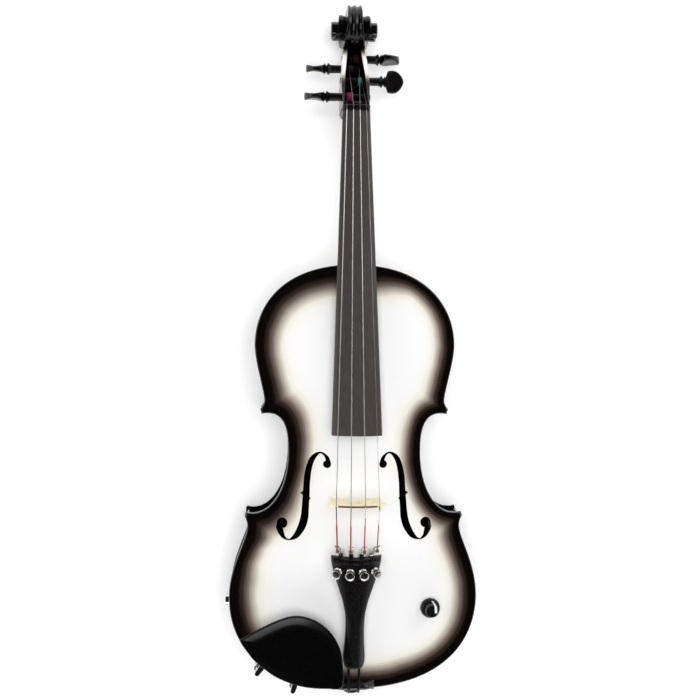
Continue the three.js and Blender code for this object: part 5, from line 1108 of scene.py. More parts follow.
# %% Flat pieces with a drawn outline
def drawn_net(outline, holes, step, near):
    """Like the net of a plate, for a small piece: its own step and its own field of points."""
    points, edges = [outline], [(i, (i + 1) % len(outline)) for i in range(len(outline))]
    count = len(outline)
    for line in holes:
        edges += [(count + i, count + (i + 1) % len(line)) for i in range(len(line))]
        points.append(line)
        count += len(line)
    lines = [outline, *holes]
    for line in lines:
        for depth in near:
            ring = inset(line, depth)
            free = np.min([distance_to(other, ring) for other in lines], 0) > depth * 0.9
            points.append(ring[within(outline, ring) & free])
    low, high = outline.min(0), outline.max(0)
    gx, gy = np.meshgrid(np.arange(low[0], high[0], step), np.arange(low[1], high[1], step * 0.87))
    gx = gx + (np.arange(gx.shape[0]) % 2)[:, None] * step / 2
    field = np.stack([gx.ravel(), gy.ravel()], 1)
    clear = np.min([distance_to(line, field) for line in lines], 0) > near[-1] * 1.4
    points.append(field[within(outline, field) & clear])
    flat_points = np.vstack(points)
    got, _, faces, *_ = delaunay_2d_cdt([Vector(p) for p in flat_points.tolist()], edges, [], 0, 1e-4)
    got = np.array([tuple(p) for p in got])
    faces = np.array([f for f in faces if len(f) == 3])
    middle = got[faces].mean(1)
    keep = within(outline, middle)
    for line in holes:
        keep &= ~within(line, middle)
    faces = faces[keep]
    used, faces = np.unique(faces, return_inverse=True)
    flat_points, faces = got[used], faces.reshape(-1, 3)
    a, b, c = flat_points[faces[:, 0]], flat_points[faces[:, 1]], flat_points[faces[:, 2]]
    over = (b - a)[:, 0] * (c - a)[:, 1] - (b - a)[:, 1] * (c - a)[:, 0] < 0
    faces[over] = faces[over][:, ::-1]
    depth_in = np.min([distance_to(line, flat_points) for line in lines], 0)
    return flat_points, faces, depth_in


def leaf(name, outline, holes, sides_of, finish, step=1.4, near=(0.3, 0.7)):
    """A flat piece: sides_of gives its two skins, as points in the drawing, from place and depth in."""
    if (outline[:, 0] * np.roll(outline[:, 1], -1) - outline[:, 1] * np.roll(outline[:, 0], -1)).sum() < 0:
        outline = outline[::-1]
    flat_points, faces, depth_in = drawn_net(outline, holes, step, near)
    front, rear = sides_of(flat_points, depth_in)
    sides = np.vstack([faces[:, [0, 1]], faces[:, [1, 2]], faces[:, [2, 0]]])
    key = np.sort(sides, 1)
    _, first, times = np.unique(key[:, 0] * 10**6 + key[:, 1], return_index=True, return_counts=True)
    rim = sides[first[times == 1]]
    n = len(flat_points)
    walls = np.stack([rim[:, 1], rim[:, 0], rim[:, 0] + n, rim[:, 1] + n], 1)
    everything = faces.tolist() + (faces[:, ::-1] + n).tolist() + walls.tolist()
    points = np.vstack([front, rear])
    if signed_volume(points, everything) < 0:
        everything = [face[::-1] for face in everything]
    return raw_mesh(name, points, everything, finish)


# %% Bridge
BRIDGE_SIDE = [(1, 0.74), (0.93, 0.6), (0.82, 0.55), (0.62, 0.53), (0.47, 0.44), (0.58, 0.36), (0.78, 0.35),
               (0.84, 0.3), (0.76, 0.19), (0.8, 0.12), (0.888, 0.05)]
BRIDGE_ARCH = [(0.4, -0.02), (0.41, 0.06), (0.54, 0.15), (0.42, 0.25), (0.2, 0.315), (0, 0.33)]
HEART = [(0, 0.54), (0.05, 0.49), (0.14, 0.52), (0.16, 0.59), (0.09, 0.66), (0.03, 0.63), (0, 0.7)]


def on_bridge(pairs):
    return np.asarray(pairs, float) * [23.3, 33.0] + [0, BRIDGE_FOOT]


crown_x = np.linspace(0, 22.6, 24)
crown = np.stack([crown_x, BRIDGE_CREST - sag(crown_x, 41.5)], 1)
foot_x = np.linspace(0.888 * 23.3, 0.4 * 23.3, 14)
foot = np.stack([foot_x, belly_top(foot_x, BRIDGE_AT) + 0.1], 1)
side = bend_through(on_bridge(BRIDGE_SIDE), 90)
arch_line = bend_through(on_bridge(BRIDGE_ARCH), 40)
half_bridge = np.vstack([crown, side, foot, arch_line[1:]])
bridge_line = np.vstack([half_bridge, (half_bridge * [-1, 1])[::-1][1:-1]])
heart_half = bend_through(on_bridge(HEART), 42)
heart_line = np.vstack([heart_half, (heart_half * [-1, 1])[::-1][1:-1]])


def bridge_sides(flat_points, depth_in):
    """Upright behind, leaning in front, thin at the crest, with a chamfer of 0.4 mm."""
    x, z = flat_points.T
    up = np.clip((z - BRIDGE_FOOT) / 37.0, 0, 1)
    chamfer = 0.4 * np.clip(1 - depth_in / 0.5, 0, 1)
    ahead = BRIDGE_AT + 2.3 - 1.55 * up - chamfer
    behind = BRIDGE_AT - 2.3 + 1.55 * np.clip((up - 0.3) / 0.7, 0, 1) + chamfer
    return np.stack([x, ahead, z], 1), np.stack([x, behind, z], 1)


bridge = leaf("bridge_leaf", bridge_line, [heart_line], bridge_sides, MAPLE, 1.1, (0.25, 0.55))
finished(bridge, "violin", ["bridge"], 30)
# A thin dark red-brown strip laid along the crest is painted shade, not a part of the bridge
crest_line = [[(x, BRIDGE_AT + ahead, BRIDGE_CREST - float(sag(x, 41.5)) + up)
               for ahead, up in ((-0.72, -0.3), (0.72, -0.3), (0.72, 0.07), (-0.72, 0.07))]
              for x in np.linspace(-15.7, 15.7, 61)]
finished(skin("bridge_crest_shade", crest_line, CREST_SHADE), "violin", [])
print("bridge", len(bridge.data.polygons), "faces")

# %% [markdown]
# The tailpiece holds the string ends. It is a narrow arched bar that widens to the front, with a
# raised fret near its front edge. A black cord goes from its thin end over the saddle and round
# the end button.

# %% Tailpiece and its fret
TAIL_WIDE = [(0, 1), (0.05, 0.985), (0.16, 0.87), (0.28, 0.68), (0.4, 0.5), (0.52, 0.395), (0.64, 0.375),
             (0.78, 0.4), (0.9, 0.44), (0.97, 0.4), (1, 0.26)]
wide_line = bend_through(TAIL_WIDE, 110)


def tail_ring(back):
    half = 20.5 * float(np.interp(back, wide_line[:, 0], wide_line[:, 1]))
    radius = 42.0 * (1 - 0.7 * min(back / 0.62, 1))
    x = np.sin(np.linspace(-math.pi / 2, math.pi / 2, 41)) * half
    round_end = 0.7 * max(0, 1 - back / 0.012)**2 + 0.7 * max(0, 1 - (1 - back) / 0.012)**2
    ease = 0.7 * np.clip((np.abs(x) - (half - 0.9)) / 0.9, 0, 1)**2 + round_end
    front_bow = 1.6 * (1 - (x / half)**2) * max(0, 1 - back / 0.08) + 1.5 * (1 - back)
    top = np.stack([x, -back * 101.0 - front_bow, -sag(x, radius) - ease], -1)
    under_x = x[::-2]
    deep = 4.6 - 1.3 * (np.abs(under_x) / half)**6
    under = np.stack([under_x,
                      -back * 101.0 - 1.6 * (1 - (under_x / half)**2) * max(0, 1 - back / 0.08) - 1.5 * (1 - back),
                      -sag(under_x, radius) - deep + round_end], -1)
    return from_tail(np.vstack([top, under]))


tail_shares = np.concatenate([[0, 0.003, 0.007, 0.012], np.linspace(0.025, 0.975, 64), [0.985, 0.992, 1.0]])
finished(skin("tailpiece_bar", [tail_ring(s) for s in tail_shares], EBONY), "violin", ["tailpiece"], 40)


def fret_ring(x):
    level = -float(sag(x, 42.0))
    round_top = [(-4.8 - 1.9 * (1 - math.cos(a)) / 2, level + 0.2 + 0.75 * math.sin(a))
                 for a in np.linspace(0, math.pi, 9)]
    return from_tail(np.array([(x, -4.8, level - 1.5), *((x, y, z) for y, z in round_top), (x, -6.7, level - 1.5)]))


finished(skin("tailpiece_fret", [fret_ring(x) for x in np.linspace(-19.2, 19.2, 41)], EBONY), "violin",
         ["tailpiece"], 40)
print("tailpiece ready")

# %% Tail loop and end button
MID_RIB = 30.5
end_left = from_tail([4.4, -101.0 + 8, -2.6])
end_right = from_tail([4.4, -102.0, -2.6])
loop_half = [tuple(end_left), tuple(end_right), (4.1, 6.2, 59.5), (4.0, 3.6, 59.2), (4.0, 0.9, 57.0),
             (4.0, -1.0, 53.0), (4.2, -1.5, 46.0), (5.2, -2.2, 34.5), (5.3, -2.6, 30.5), (3.8, -2.7, 26.6)]
loop_line = np.array(loop_half + [(0, -2.7, 25.1)] + [(-x, y, z) for x, y, z in loop_half[::-1]])
loop_path = bend_through(loop_line, 260)
finished(skin("tail_cord", tube_rings(loop_path, 1.1, 14), CORD_NYLON), "violin", ["tail_loop"])
button_profile = [(0, -20), (3.3, -20), (4.0, -0.3), (4.0, 4.3), (6.2, 4.35), (6.9, 4.7), (7.3, 5.6), (7.25, 6.5),
                  (6.7, 7.5), (5.4, 8.2), (4.3, 8.6), (2.4, 8.75), (0, 8.8)]
smooth_button = [tuple(p) for p in button_profile[:4]] + [tuple(p) for p in bend_through(button_profile[4:], 36)]
finished(turned("end_button_head", smooth_button, EBONY, (0, 0, MID_RIB), (0, -1, 0), 56), "violin", ["end_button"])
print("loop and button ready")

# %% [markdown]
# A fine tuner is a small machine: a bracket under the tailpiece with a threaded post through it, a
# bent lever with a fork for the string's ball, and a knurled screw that pushes the lever's rear
# arm. The screw and the lever are separate bodies; in the real tuner they move together.

# %% Fine tuners
def box_grid(low, high, ease=0.15):
    """A block with eased edges, as rings going up."""
    low, high = np.asarray(low, float), np.asarray(high, float)
    def ring(level, shrink):
        x0, x1, y0, y1 = low[0] + shrink, high[0] - shrink, low[1] + shrink, high[1] - shrink
        e = ease
        return [(x0 + e, y0, level), (x1 - e, y0, level), (x1, y0 + e, level), (x1, y1 - e, level),
                (x1 - e, y1, level), (x0 + e, y1, level), (x0, y1 - e, level), (x0, y0 + e, level)]
    return np.array([ring(low[2], ease), ring(low[2] + ease, 0), ring(high[2] - ease, 0), ring(high[2], ease)])


UNDER_TAIL = -5.2
PIN_LEVEL, ARM_LEVEL = UNDER_TAIL - 1.1 - 2.3 - 0.4, UNDER_TAIL - 1.1 - 0.3
LEVER_SIDE = [(-2.6, ARM_LEVEL - 2), (-2.6, ARM_LEVEL), (7.0, ARM_LEVEL), (9.5, ARM_LEVEL), (13.9, UNDER_TAIL),
              (15.7, 0.8), (16.9, 2.2), (18.6, 2.2), (18.6, -0.3), (17.1, UNDER_TAIL - 2.2), (11.1, PIN_LEVEL - 2),
              (8.5, PIN_LEVEL - 2.2), (6.5, PIN_LEVEL - 0.6), (5.1, ARM_LEVEL - 2)]
PRONG_SIDE = [(18.0, -0.4), (18.0, 2.1), (20.5, 2.1), (21.7, 3.2), (22.6, 5.4), (24.0, 6.3), (25.2, 5.9), (24.4, 5.0),
              (23.5, 4.2), (22.9, 2.2), (21.2, 0.6)]


def eased(line, cut=0.45):
    """A closed line whose corners are cut twice, so that it reads as bent metal."""
    line = np.asarray(line, float)
    for share in (cut, 0.3):
        after = np.roll(line, -1, 0)
        gap = np.linalg.norm(after - line, axis=1, keepdims=True)
        step = np.minimum(share, gap * 0.3) / gap
        line = np.stack([line + (after - line) * step, after - (after - line) * step], 1).reshape(-1, 2)
    return line


def knurled(name, radius, low, high, teeth, depth, finish, place):
    """A round head with straight knurling and rolled ends."""
    angle = np.linspace(0, 2 * math.pi, teeth * 6, endpoint=False)
    bite = depth * (0.5 + 0.5 * np.cos(angle * teeth))
    steps = [(low, 0.55, 0), (low, 0.86, 0), (low + 0.25, 0.96, 0.4), (low + 0.55, 1, 1), (high - 0.55, 1, 1),
             (high - 0.25, 0.97, 0.4), (high, 0.88, 0), (high + 0.02, 0.4, 0)]
    rings = [np.stack([(radius * share - bite * amount) * np.cos(angle),
                       (radius * share - bite * amount) * np.sin(angle),
                       np.full(len(angle), level)], -1) for level, share, amount in steps]
    return skin(name, place(np.array(rings)), finish)


def screw_stem(radius, low, high, pitch=0.7, turns_of=40):
    """A threaded stem: the radius rises and falls with height and angle."""
    angle = np.linspace(0, 2 * math.pi, 20, endpoint=False)
    level = np.linspace(low, high, turns_of)
    wave = 0.12 * np.cos(2 * math.pi * level[:, None] / pitch - angle[None])
    r = radius - 0.12 + wave
    return np.stack([r * np.cos(angle), r * np.sin(angle), np.broadcast_to(level[:, None], r.shape)], -1)


for own, (share, radius, _) in STRINGS.items():
    def here(points, share=share):
        return from_tuner(points, share)

    finished(skin(f"tuner_{own}_plate", here(box_grid((-3.3, -3.3, -6.3), (3.3, 9.7, -5.2))), NICKEL), "violin",
             [f"tuner_bracket_{own}"])
    for way, ear in ((1, "right"), (-1, "left")):
        low_x, high_x = sorted((way * 2.2, way * 3.1))
        finished(skin(f"tuner_{own}_ear_{ear}", here(box_grid((low_x, 6.1, -10.9), (high_x, 10.5, -5.75))), NICKEL),
                 "violin", [f"tuner_bracket_{own}"])
    ring = np.array([[(r * math.cos(a), r * math.sin(a), z) for a in np.linspace(0, 2 * math.pi, 48, endpoint=False)]
                     for r, z in ((1.75, -6.0), (2.3, -6.0), (2.3, 0.3), (3.1, 0.3), (3.3, 0.5), (3.3, 1.3), (2.8, 2.0),
                                  (1.9, 2.0), (1.75, 1.9))])
    finished(skin(f"tuner_{own}_collar", here(ring), NICKEL, loop=True), "violin", [f"tuner_bracket_{own}"])
    pin_a = np.linspace(0, 2 * math.pi, 20, endpoint=False)
    pin = np.array([[(x, 8.5 + 0.9 * math.cos(a), PIN_LEVEL + 0.9 * math.sin(a)) for a in pin_a]
                    for x in (-3.2, 3.2)])
    finished(skin(f"tuner_{own}_pin", here(pin), STEEL), "violin", [f"tuner_bracket_{own}"])

    def between(low_x, high_x):
        """Both sides of a flat piece that lies between two places across the tuner."""
        def sides(flat_points, depth_in):
            y, z = flat_points.T
            chamfer = 0.2 * np.clip(1 - depth_in / 0.3, 0, 1)
            return here(np.stack([high_x - chamfer, y, z], 1)), here(np.stack([low_x + chamfer, y, z], 1))
        return sides

    body = leaf(f"tuner_{own}_lever", eased(LEVER_SIDE), [], between(-1.9, 1.9), NICKEL, 0.9, (0.22,))
    finished(body, f"lever_{own}", [f"tuner_lever_{own}"], 30)
    for hand, low_x in (("right", 0.95), ("left", -2.0)):
        prong = leaf(f"tuner_{own}_prong_{hand}", eased(PRONG_SIDE), [], between(low_x, low_x + 1.05), NICKEL, 0.9,
                     (0.22,))
        finished(prong, f"lever_{own}", [f"tuner_lever_{own}"], 30)
    head_foot = 0.3 + 1.7 + 3.2
    stem = screw_stem(1.35, ARM_LEVEL + 0.3, head_foot + 0.4, turns_of=76)
    finished(skin(f"tuner_{own}_stem", here(stem), NICKEL), f"screw_{own}", [f"tuner_screw_{own}"])
    finished(knurled(f"tuner_{own}_screw_head", 3.8, head_foot, head_foot + 3.38, 26, 0.28, NICKEL, here),
             f"screw_{own}", [f"tuner_screw_{own}"], 45)
print("tuners ready")

# %% [markdown]
# The chin rest is a smooth kidney-shaped cup with a hollow for the jaw. It bridges the body on a
# cork-lined foot and is pulled together by two barrels, whose threads run into plates over the
# belly and under the back.

# %% Chin rest
CUP = [(1, 0.03), (0.995, 0.4), (0.955, 0.6), (0.865, 0.79), (0.735, 0.93), (0.575, 1), (0.42, 0.975),
       (0.226, 0.862), (0.024, 0.71), (0, 0.655), (0.08, 0.493), (0.15, 0.382), (0.35, 0.17), (0.6, 0.038), (0.85, 0)]
cup_points = np.array([(-9.9 - (1 - a) * 83.4, 7.4 + b * 60) for a, b in CUP])
wrapped = np.vstack([cup_points[-2:], cup_points, cup_points[:3]])
cup_line = bend_through(wrapped, (len(wrapped) - 1) * 8)[16:16 + len(cup_points) * 8]
cup_middle = cup_points.mean(0)
CUP_RINGS = [(0.05, 61.5), (0.3, 61.5), (0.55, 61.8), (0.72, 62.4), (0.86, 64.0), (0.94, 65.8), (0.985, 67.8),
             (1.0, 69.3), (0.998, 70.1), (0.985, 70.8), (0.965, 71.0), (0.945, 70.8), (0.9, 70.15), (0.82, 69.1),
             (0.72, 68.0), (0.6, 67.1), (0.45, 66.4), (0.3, 66.0), (0.15, 65.85), (0.04, 65.8)]
cup_rows = []
for share, level in bend_through(CUP_RINGS, 76):
    flat_ring = cup_middle + (cup_line - cup_middle) * share
    dip = 1.4 * np.clip((cup_line[:, 0] + 40) / 30, -1, 1) * max(0.0, share - 0.6) * (level > 66)
    cup_rows.append(np.column_stack([flat_ring, np.full(len(cup_line), level) - np.clip(dip, 0, 2)]))
finished(skin("chin_rest_bowl", cup_rows, CHIN_PLASTIC), "violin", ["chin_rest_cup"], 50)

clamp_half = bout(LOWER_HALF, [(0, 0), (0.734, 0), (1, 0.108), (1, 0.219)], 24)
clamp_edge = (clamp_half[4:14] * [-1, 1])[::-1]
clamp_fine = bend_through(clamp_edge, 45)


def clamp_strip(name, depth_out, depth_in, low, high, finish, body, node, round_over=0.4):
    """A bar that follows the edge of the body between two depths and two levels."""
    outer, inner = inset(clamp_fine, depth_out, False)[7:], inset(clamp_fine, depth_in, False)[7:]
    rows = []
    for o, i in zip(outer, inner):
        lows, highs = (low(o), low(i)) if callable(low) else (low, low), (high, high)
        e = round_over
        cut_in = (i - o) / np.linalg.norm(i - o) * e
        rows.append([(*(o + cut_in), lows[0]), (*o, lows[0] + e), (*o, highs[0] - e), (*(o + cut_in), highs[0]),
                     (*(i - cut_in), highs[1]), (*i, highs[1] - e), (*i, lows[1] + e), (*(i - cut_in), lows[1])])
    return finished(skin(name, rows, finish), body, [node], 50)


clamp_strip("chin_rest_foot", 3, 16, 54.8, 62.6, BLACK_PLASTIC, "violin", "chin_rest_cup", 0.8)
clamp_strip("chin_rest_pad", 3, 16, lambda p: float(belly_top(*p)) + 0.1, 52.5, CORK, "violin", "chin_rest_cork",
            0.3)
clamp_strip("clamp_plate_top", 1.2, 13, 52.8, 54.8, NICKEL, "violin", "clamp_bracket", 0.5)
clamp_strip("clamp_pad_low", 3, 14, 8.5, 10.7, CORK, "clamp_foot_body", "clamp_cork", 0.3)
clamp_strip("clamp_plate_low", 1.2, 13, 6.2, 8.2, NICKEL, "clamp_foot_body", "clamp_foot", 0.5)
spots = inset(clamp_edge, -6.2, False)
picks = [spots[2], spots[len(spots) - 3]]
inner_spots = inset(clamp_edge, 3.0, False)
inner_picks = [inner_spots[2], inner_spots[len(inner_spots) - 3]]


def clamp_tab(name, spot, root, low, body, node):
    """A tongue from the plate out to its rod, round at the rod's end."""
    run = (root - spot) / np.linalg.norm(root - spot)
    side = np.array([-run[1], run[0]])
    turn = np.linspace(-math.pi / 2, math.pi / 2, 15)
    outline = [spot - run * 2.2 * math.cos(a) + side * 2.2 * math.sin(a) for a in turn]
    outline += [root + side * 2.6, root - side * 2.6]
    rows = []
    for level, shrink in ((low, 0.3), (low + 0.35, 0), (low + 1.65, 0), (low + 2.0, 0.3)):
        middle = np.mean(outline, 0)
        rows.append([(*(p + (middle - p) / np.linalg.norm(middle - p) * shrink), level) for p in outline])
    finished(skin(name, rows, NICKEL), body, [node], 40)


for number, (spot, root) in enumerate(zip(picks, inner_picks), 1):
    clamp_tab(f"clamp_tab_top_{number}", spot, root, 52.8, "violin", "clamp_bracket")
    clamp_tab(f"clamp_tab_low_{number}", spot, root, 6.2, "clamp_foot_body", "clamp_foot")
    top_rod = screw_stem(1.5, 40 - 5.5, 53.8, turns_of=140) + [*spot, 0]
    low_rod = screw_stem(1.5, 7.2, 21 + 5.5, turns_of=140) + [*spot, 0]
    finished(skin(f"clamp_rod_top_{number}", top_rod, NICKEL), "violin", ["clamp_bracket"], 60)
    finished(skin(f"clamp_rod_low_{number}", low_rod, NICKEL), "clamp_foot_body", ["clamp_foot"], 60)
    barrel = [(2.0, 0), (2.7, 0), (3.3, 0.6), (3.3, 3.4), (2.95, 3.7), (2.95, 4.3), (3.3, 4.6), (3.3, 14.4),
              (2.95, 14.7), (2.95, 15.3), (3.3, 15.6), (3.3, 18.4), (2.7, 19), (2.0, 19)]
    around = np.linspace(0, 2 * math.pi, 48, endpoint=False)
    rings = np.array([[(spot[0] + r * math.cos(a), spot[1] + r * math.sin(a), 21 + h) for a in around]
                      for r, h in barrel])
    finished(skin(f"clamp_barrel_{number}_tube", rings, NICKEL, loop=True), f"barrel_{number}",
             [f"clamp_barrel_{number}"], 40)
print("chin rest ready, clamp spots", picks)

# %% [markdown]
# One control and one socket make the violin electric: a volume knob on the treble side of the
# belly, and a jack in the rib on the bass side. Inside are the potentiometer, a pickup disc under
# the bridge, and two leads.

# %% Volume control
KNOB = np.array([64.0, 69.0])
KNOB_FOOT = float(belly_top(KNOB[0] - 8.2, KNOB[1] + 8.2)) + 0.6
KNOB_GROUND = float(belly_top(KNOB[0] - 5.2, KNOB[1] + 5.2))
around = np.linspace(0, 2 * math.pi, 240, endpoint=False)
bite = 0.5 + 0.5 * np.cos(around * 30)
knob_steps = [(6.3, 0, 0), (7.9, 0, 0), (8.2, 0.25, 0), (8.2, 1.1, 0), (8.0, 2.2, 0), (7.6, 3.2, 0), (6.4, 3.9, 0.1),
              (5.75, 4.5, 0.6), (5.6, 6, 1), (5.4, 9, 1), (5.25, 11.8, 1), (5.05, 12.4, 0.4), (4.7, 12.85, 0),
              (3.6, 12.98, 0),
              (0.01, 12.98, 0)]
knob_rows = [np.stack([KNOB[0] + (r - 0.28 * amount * bite) * np.cos(around),
                       KNOB[1] + (r - 0.28 * amount * bite) * np.sin(around),
                       np.full(len(around), KNOB_FOOT + h)], -1) for r, h, amount in knob_steps]
inside_rows = [np.stack([KNOB[0] + r * np.cos(around), KNOB[1] + r * np.sin(around),
                         np.full(len(around), KNOB_FOOT + h)], -1) for r, h in ((0.01, 5.0), (6.3, 5.0))]
finished(skin("volume_knob_cap", inside_rows + knob_rows, BLACK_PLASTIC), "knob", ["volume_knob"],
         40)
# A white strip up the knob's side and across its cap is a painted highlight, laid where the gleam of the lamp falls on
# the knob
KNOB_HIGHLIGHT = plain_finish("knob_painted_highlight", (0.85, 0.85, 0.83), 0.4)
link(KNOB_HIGHLIGHT, ramp(KNOB_HIGHLIGHT, noise(KNOB_HIGHLIGHT, object_place(KNOB_HIGHLIGHT), 900.0, 2.0),
                   [(0.3, (0.74, 0.74, 0.72)), (0.7, (0.86, 0.86, 0.84))]), "Base Color")
highlight_line = bend_through([(1.5, 6.3, 4.25, 1, 0.4), (1.9, 5.45, 5.3, 1, 0.2), (2.3, 4.95, 9, 1, 0),
                             (2.5, 4.6, 12.1, 1, 0.2),
                             (2.65, 4.1, 12.95, 0.4, 1), (2.8, 3.2, 13.0, 0, 1), (2.95, 1.0, 13.0, 0, 1),
                             (3.0, -1.2, 13.0, 0, 1)], 42)
line_rows = []
for x, y, level, out_share, up_share in highlight_line:
    lift = 0.16 * np.array([x * out_share / 5.4, y * out_share / 5.4, up_share])
    base = np.array([KNOB[0] + x, KNOB[1] + y, KNOB_FOOT + level])
    wide = np.array([0.95, -0.35 * out_share, 0])
    line_rows.append([base - wide - lift, base + wide - lift, base + wide + lift, base - wide + lift])
finished(skin("volume_knob_highlight", line_rows, KNOB_HIGHLIGHT), "knob", [])
pot_level = RIB_TOP + 12.4 * float(arch(KNOB[0] + 8.2, KNOB[1] - 8.2)) - 0.3
finished(turned("volume_pot_body", [(0, -8), (7.6, -8), (8.2, -7.4), (8.2, -0.6), (7.6, 0), (3.3, 0),
                                    (3.3, KNOB_GROUND + 4.2 - pot_level), (2.8, KNOB_GROUND + 4.2 - pot_level), (2.8, -4),
                                    (0, -4)], STEEL, (*KNOB, pot_level)), "violin", ["volume_pot"])
finished(turned("volume_shaft_rod", [(0, -3.7), (2.2, -3.7), (2.4, -3.4), (2.4, KNOB_FOOT + 7.9 - pot_level),
                                     (2.1, KNOB_FOOT + 8.06 - pot_level), (0, KNOB_FOOT + 8.06 - pot_level)], STEEL,
                (*KNOB, pot_level)), "knob", ["volume_shaft"])


def hex_nut(name, foot, aim, radius, bore, height, node):
    """A six-sided nut with turned-down corners and a round bore."""
    a = np.linspace(0, 2 * math.pi, 72, endpoint=False)
    hexagon = radius * math.cos(math.pi / 6) / np.cos((a % (math.pi / 3)) - math.pi / 6)
    soft = np.minimum(hexagon, radius * 0.95)
    steps = [(np.full(72, bore), 0), (soft, 0), (hexagon, height * 0.2), (hexagon, height * 0.8), (soft, height),
             (np.full(72, bore), height)]
    rings = np.array([np.stack([r * np.cos(a), r * np.sin(a), np.full(72, h)], -1) for r, h in steps])
    turn = np.array(Vector((0, 0, 1)).rotation_difference(Vector(aim)).to_matrix())
    return finished(skin(name, rings @ turn.T + np.asarray(foot, float), NICKEL, loop=True), "violin", [node])


hex_nut("volume_nut_hex", (*KNOB, KNOB_GROUND + 0.05), (0, 0, 1), 5.2, 3.6, 1.55, "volume_nut")
print("volume control ready at", KNOB_FOOT)

# %% Output jack
JACK_ALONG = 72.0
JACK_RIB = -(float(np.interp(JACK_ALONG, LOWER[40:61, 1], LOWER[40:61, 0])) - 2.7)
JACK_FACE = JACK_RIB - 6.7
jack_profile = [(3.3, 24), (3.3, 3.2), (3.3, 0.4), (3.6, 0), (4.4, 0), (4.7, 0.3), (4.7, 9.8), (6.8, 9.8), (6.8, 25.6),
                (6.4, 26), (0, 26), (0, 24)]
finished(turned("output_jack_sleeve", [(0, 24)] + jack_profile[:-1], NICKEL,
                (JACK_FACE, JACK_ALONG, MID_RIB), (1, 0, 0), 56),
         "violin", ["output_jack"])
hex_nut("output_jack_nut", (JACK_RIB - 0.3 - 2.4, JACK_ALONG, MID_RIB), (1, 0, 0), 6.6, 5.0, 2.4,
        "jack_nut")
print("jack face at", JACK_FACE)

# %% Inside: blocks, bar, post, pickup and leads
INNER = {"lower_block": SPRUCE, "upper_block": SPRUCE, "bass_bar": SPRUCE, "sound_post": SPRUCE, "pickup_disc": BRASS}
for bout_name in ("lower", "upper"):
    for side in ("treble", "bass"):
        INNER[f"{bout_name}_corner_block_{side}"] = SPRUCE
for node, finish in INNER.items():
    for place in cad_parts[node].material_slots:
        place.material = finish
pickup_low = np.array(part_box("pickup_disc")[0]) * 1000


def lead(name, route, node):
    """A thin sleeved lead inside the body, held at both ends and lying on the way between."""
    path = bend_through(route, 150)
    piece = string_tube(name, path, 0.9, LEAD_SLEEVE, 12)
    return finished(piece, "violin", [node])


PIEZO_FOOT = float(pickup_low[2] - REST_SHIFT[2] - BRIDGE_AT * math.sin(REST_TILT)) - 0.3
POT_FOOT = pot_level - 8.3
lead("pickup_lead_run", [(-2, 160, PIEZO_FOOT), (-2, 160, PIEZO_FOOT - 3), (6, 146, PIEZO_FOOT - 9), (32, 111, 34.5),
                         (60, 79, POT_FOOT - 7), (67, 70, POT_FOOT - 4), (67, 69, POT_FOOT)], "pickup_lead")
lead("jack_lead_run", [(61, 69, POT_FOOT), (61, 68, POT_FOOT - 4), (48, 63, POT_FOOT - 10), (0, 55, 24),
                       (-48, 65, 26.5), (JACK_FACE + 32.3, JACK_ALONG, MID_RIB),
                       (JACK_FACE + 26.3, JACK_ALONG, MID_RIB)], "jack_lead")
print("inner pieces finished", len(INNER))

# %% [markdown]
# The studio is a pale floor under the violin, walls of soft light round it and a dark ceiling, so
# that black lacquer seen from above stays black. Three large soft lamps stand low at the sides and a
# fourth lights from above without being mirrored. The camera looks straight down. Rays from the
# camera and from mirrors see the floor a little brighter, so it is white and still takes the shadow.

# %% Floor and world
scene = bpy.context.scene
floor_mesh = bpy.data.meshes.new("studio_floor")
floor_mesh.from_pydata([(-3, -3, -0.0005), (3, -3, -0.0005), (3, 3, -0.0005), (-3, 3, -0.0005)], [], [(0, 1, 2, 3)])
floor = bpy.data.objects.new("studio_floor", floor_mesh)
scene.collection.objects.link(floor)
FLOOR_WHITE = plain_finish("floor_white", (0.93, 0.93, 0.93), 0.9, specular=0.1)
seen = FLOOR_WHITE.node_tree.nodes.new("ShaderNodeLightPath")
either = FLOOR_WHITE.node_tree.nodes.new("ShaderNodeMath")
either.operation = "MAXIMUM"
shine = FLOOR_WHITE.node_tree.nodes.new("ShaderNodeMapRange")
far = FLOOR_WHITE.node_tree.nodes.new("ShaderNodeVectorMath")
far.operation = "LENGTH"
FLOOR_WHITE.node_tree.links.new(object_place(FLOOR_WHITE), far.inputs[0])
FLOOR_WHITE.node_tree.links.new(ranged(FLOOR_WHITE, far.outputs["Value"], 0.8, 2.6, 0.2, 1.0), shine.inputs["To Max"])
FLOOR_WHITE.node_tree.links.new(seen.outputs["Is Camera Ray"], either.inputs[0])
FLOOR_WHITE.node_tree.links.new(seen.outputs["Is Glossy Ray"], either.inputs[1])
FLOOR_WHITE.node_tree.links.new(either.outputs[0], shine.inputs["Value"])
shader_of(FLOOR_WHITE).inputs["Emission Color"].default_value = (1, 1, 1, 1)
link(FLOOR_WHITE, shine.outputs["Result"], "Emission Strength")
floor_mesh.materials.append(FLOOR_WHITE)
world = bpy.data.worlds.new("studio_world")
scene.world = world
world.use_nodes = True
sky = world.node_tree.nodes["Background"]
sky.inputs["Color"].default_value = (1, 1, 1, 1)
height = world.node_tree.nodes.new("ShaderNodeSeparateXYZ")
toward = world.node_tree.nodes.new("ShaderNodeTexCoord")
fall = world.node_tree.nodes.new("ShaderNodeMapRange")
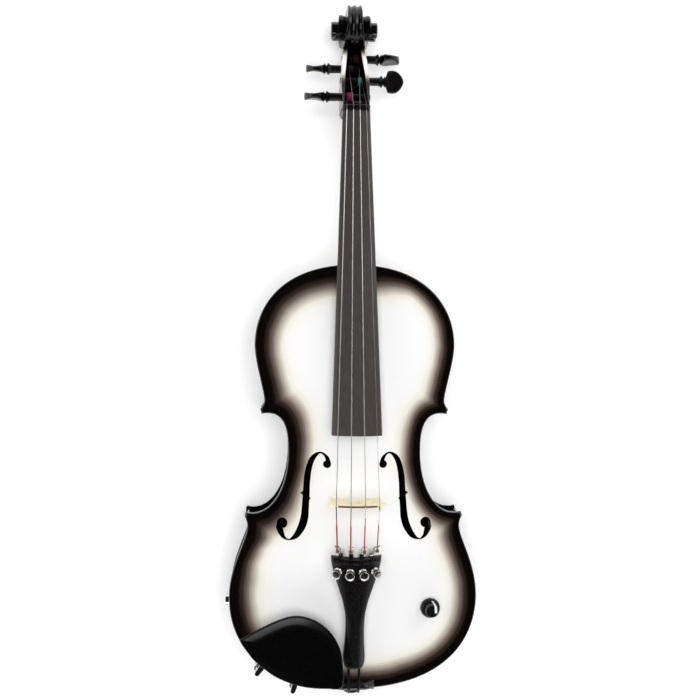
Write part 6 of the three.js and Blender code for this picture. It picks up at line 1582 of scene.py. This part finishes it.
for key, number in (("From Min", 0.28), ("From Max", 0.56), ("To Min", 1.25), ("To Max", 0.01)):
    fall.inputs[key].default_value = number
world.node_tree.links.new(toward.outputs["Generated"], height.inputs["Vector"])
world.node_tree.links.new(height.outputs["Z"], fall.inputs["Value"])
world.node_tree.links.new(fall.outputs["Result"], sky.inputs["Strength"])

# %% Lamps
def softbox(name, place, aim, size, power):
    """A large square lamp at place, turned to aim, both in metres on the table."""
    lamp = bpy.data.lights.new(name, "AREA")
    lamp.shape, lamp.size, lamp.energy = "SQUARE", size, power
    holder = bpy.data.objects.new(name, lamp)
    scene.collection.objects.link(holder)
    holder.location = place
    holder.rotation_euler = (Vector(aim) - Vector(place)).to_track_quat("-Z", "Y").to_euler()
    return holder


softbox("key_lamp", (1.1, 1.1, 0.95), (0, 0.15, 0), 0.9, 7)
softbox("tail_lamp", (0.1, -1.6, 0.6), (0, 0.1, 0), 0.8, 4)
softbox("side_lamp", (-1.5, 0.3, 0.95), (0, 0.1, 0), 0.9, 5)
softbox("top_lamp", (0, 0.06, 1.6), (0, 0.06, 0), 1.3, 21).visible_glossy = False
print("lamps ready")

# %% Camera
EYE_AT = np.array([-62.06, 289.26, 880.73])
lens_turn = (0.0059, 0.0693, -0.0064)


def turn_about(axis, angle):
    return np.array(Matrix.Rotation(angle, 3, axis))


# The three small angles turn the drawing into the camera's own axes, X right and Y up
to_camera = turn_about("Z", lens_turn[2]) @ turn_about("Y", lens_turn[1]) @ turn_about("X", lens_turn[0])
camera_data = bpy.data.cameras.new("photo_camera")
camera_data.lens, camera_data.sensor_width = 51.21, 36.0
camera_data.clip_start = 0.01
camera = bpy.data.objects.new("photo_camera", camera_data)
scene.collection.objects.link(camera)
facing = Matrix((TURN @ to_camera.T).tolist()).to_4x4()
facing.translation = Vector(on_table(EYE_AT))
camera.matrix_world = facing
scene.camera = camera
scene.render.engine = "CYCLES"
scene.render.resolution_x = scene.render.resolution_y = 700
scene.view_settings.view_transform = "Standard"
print("camera at", camera.location)
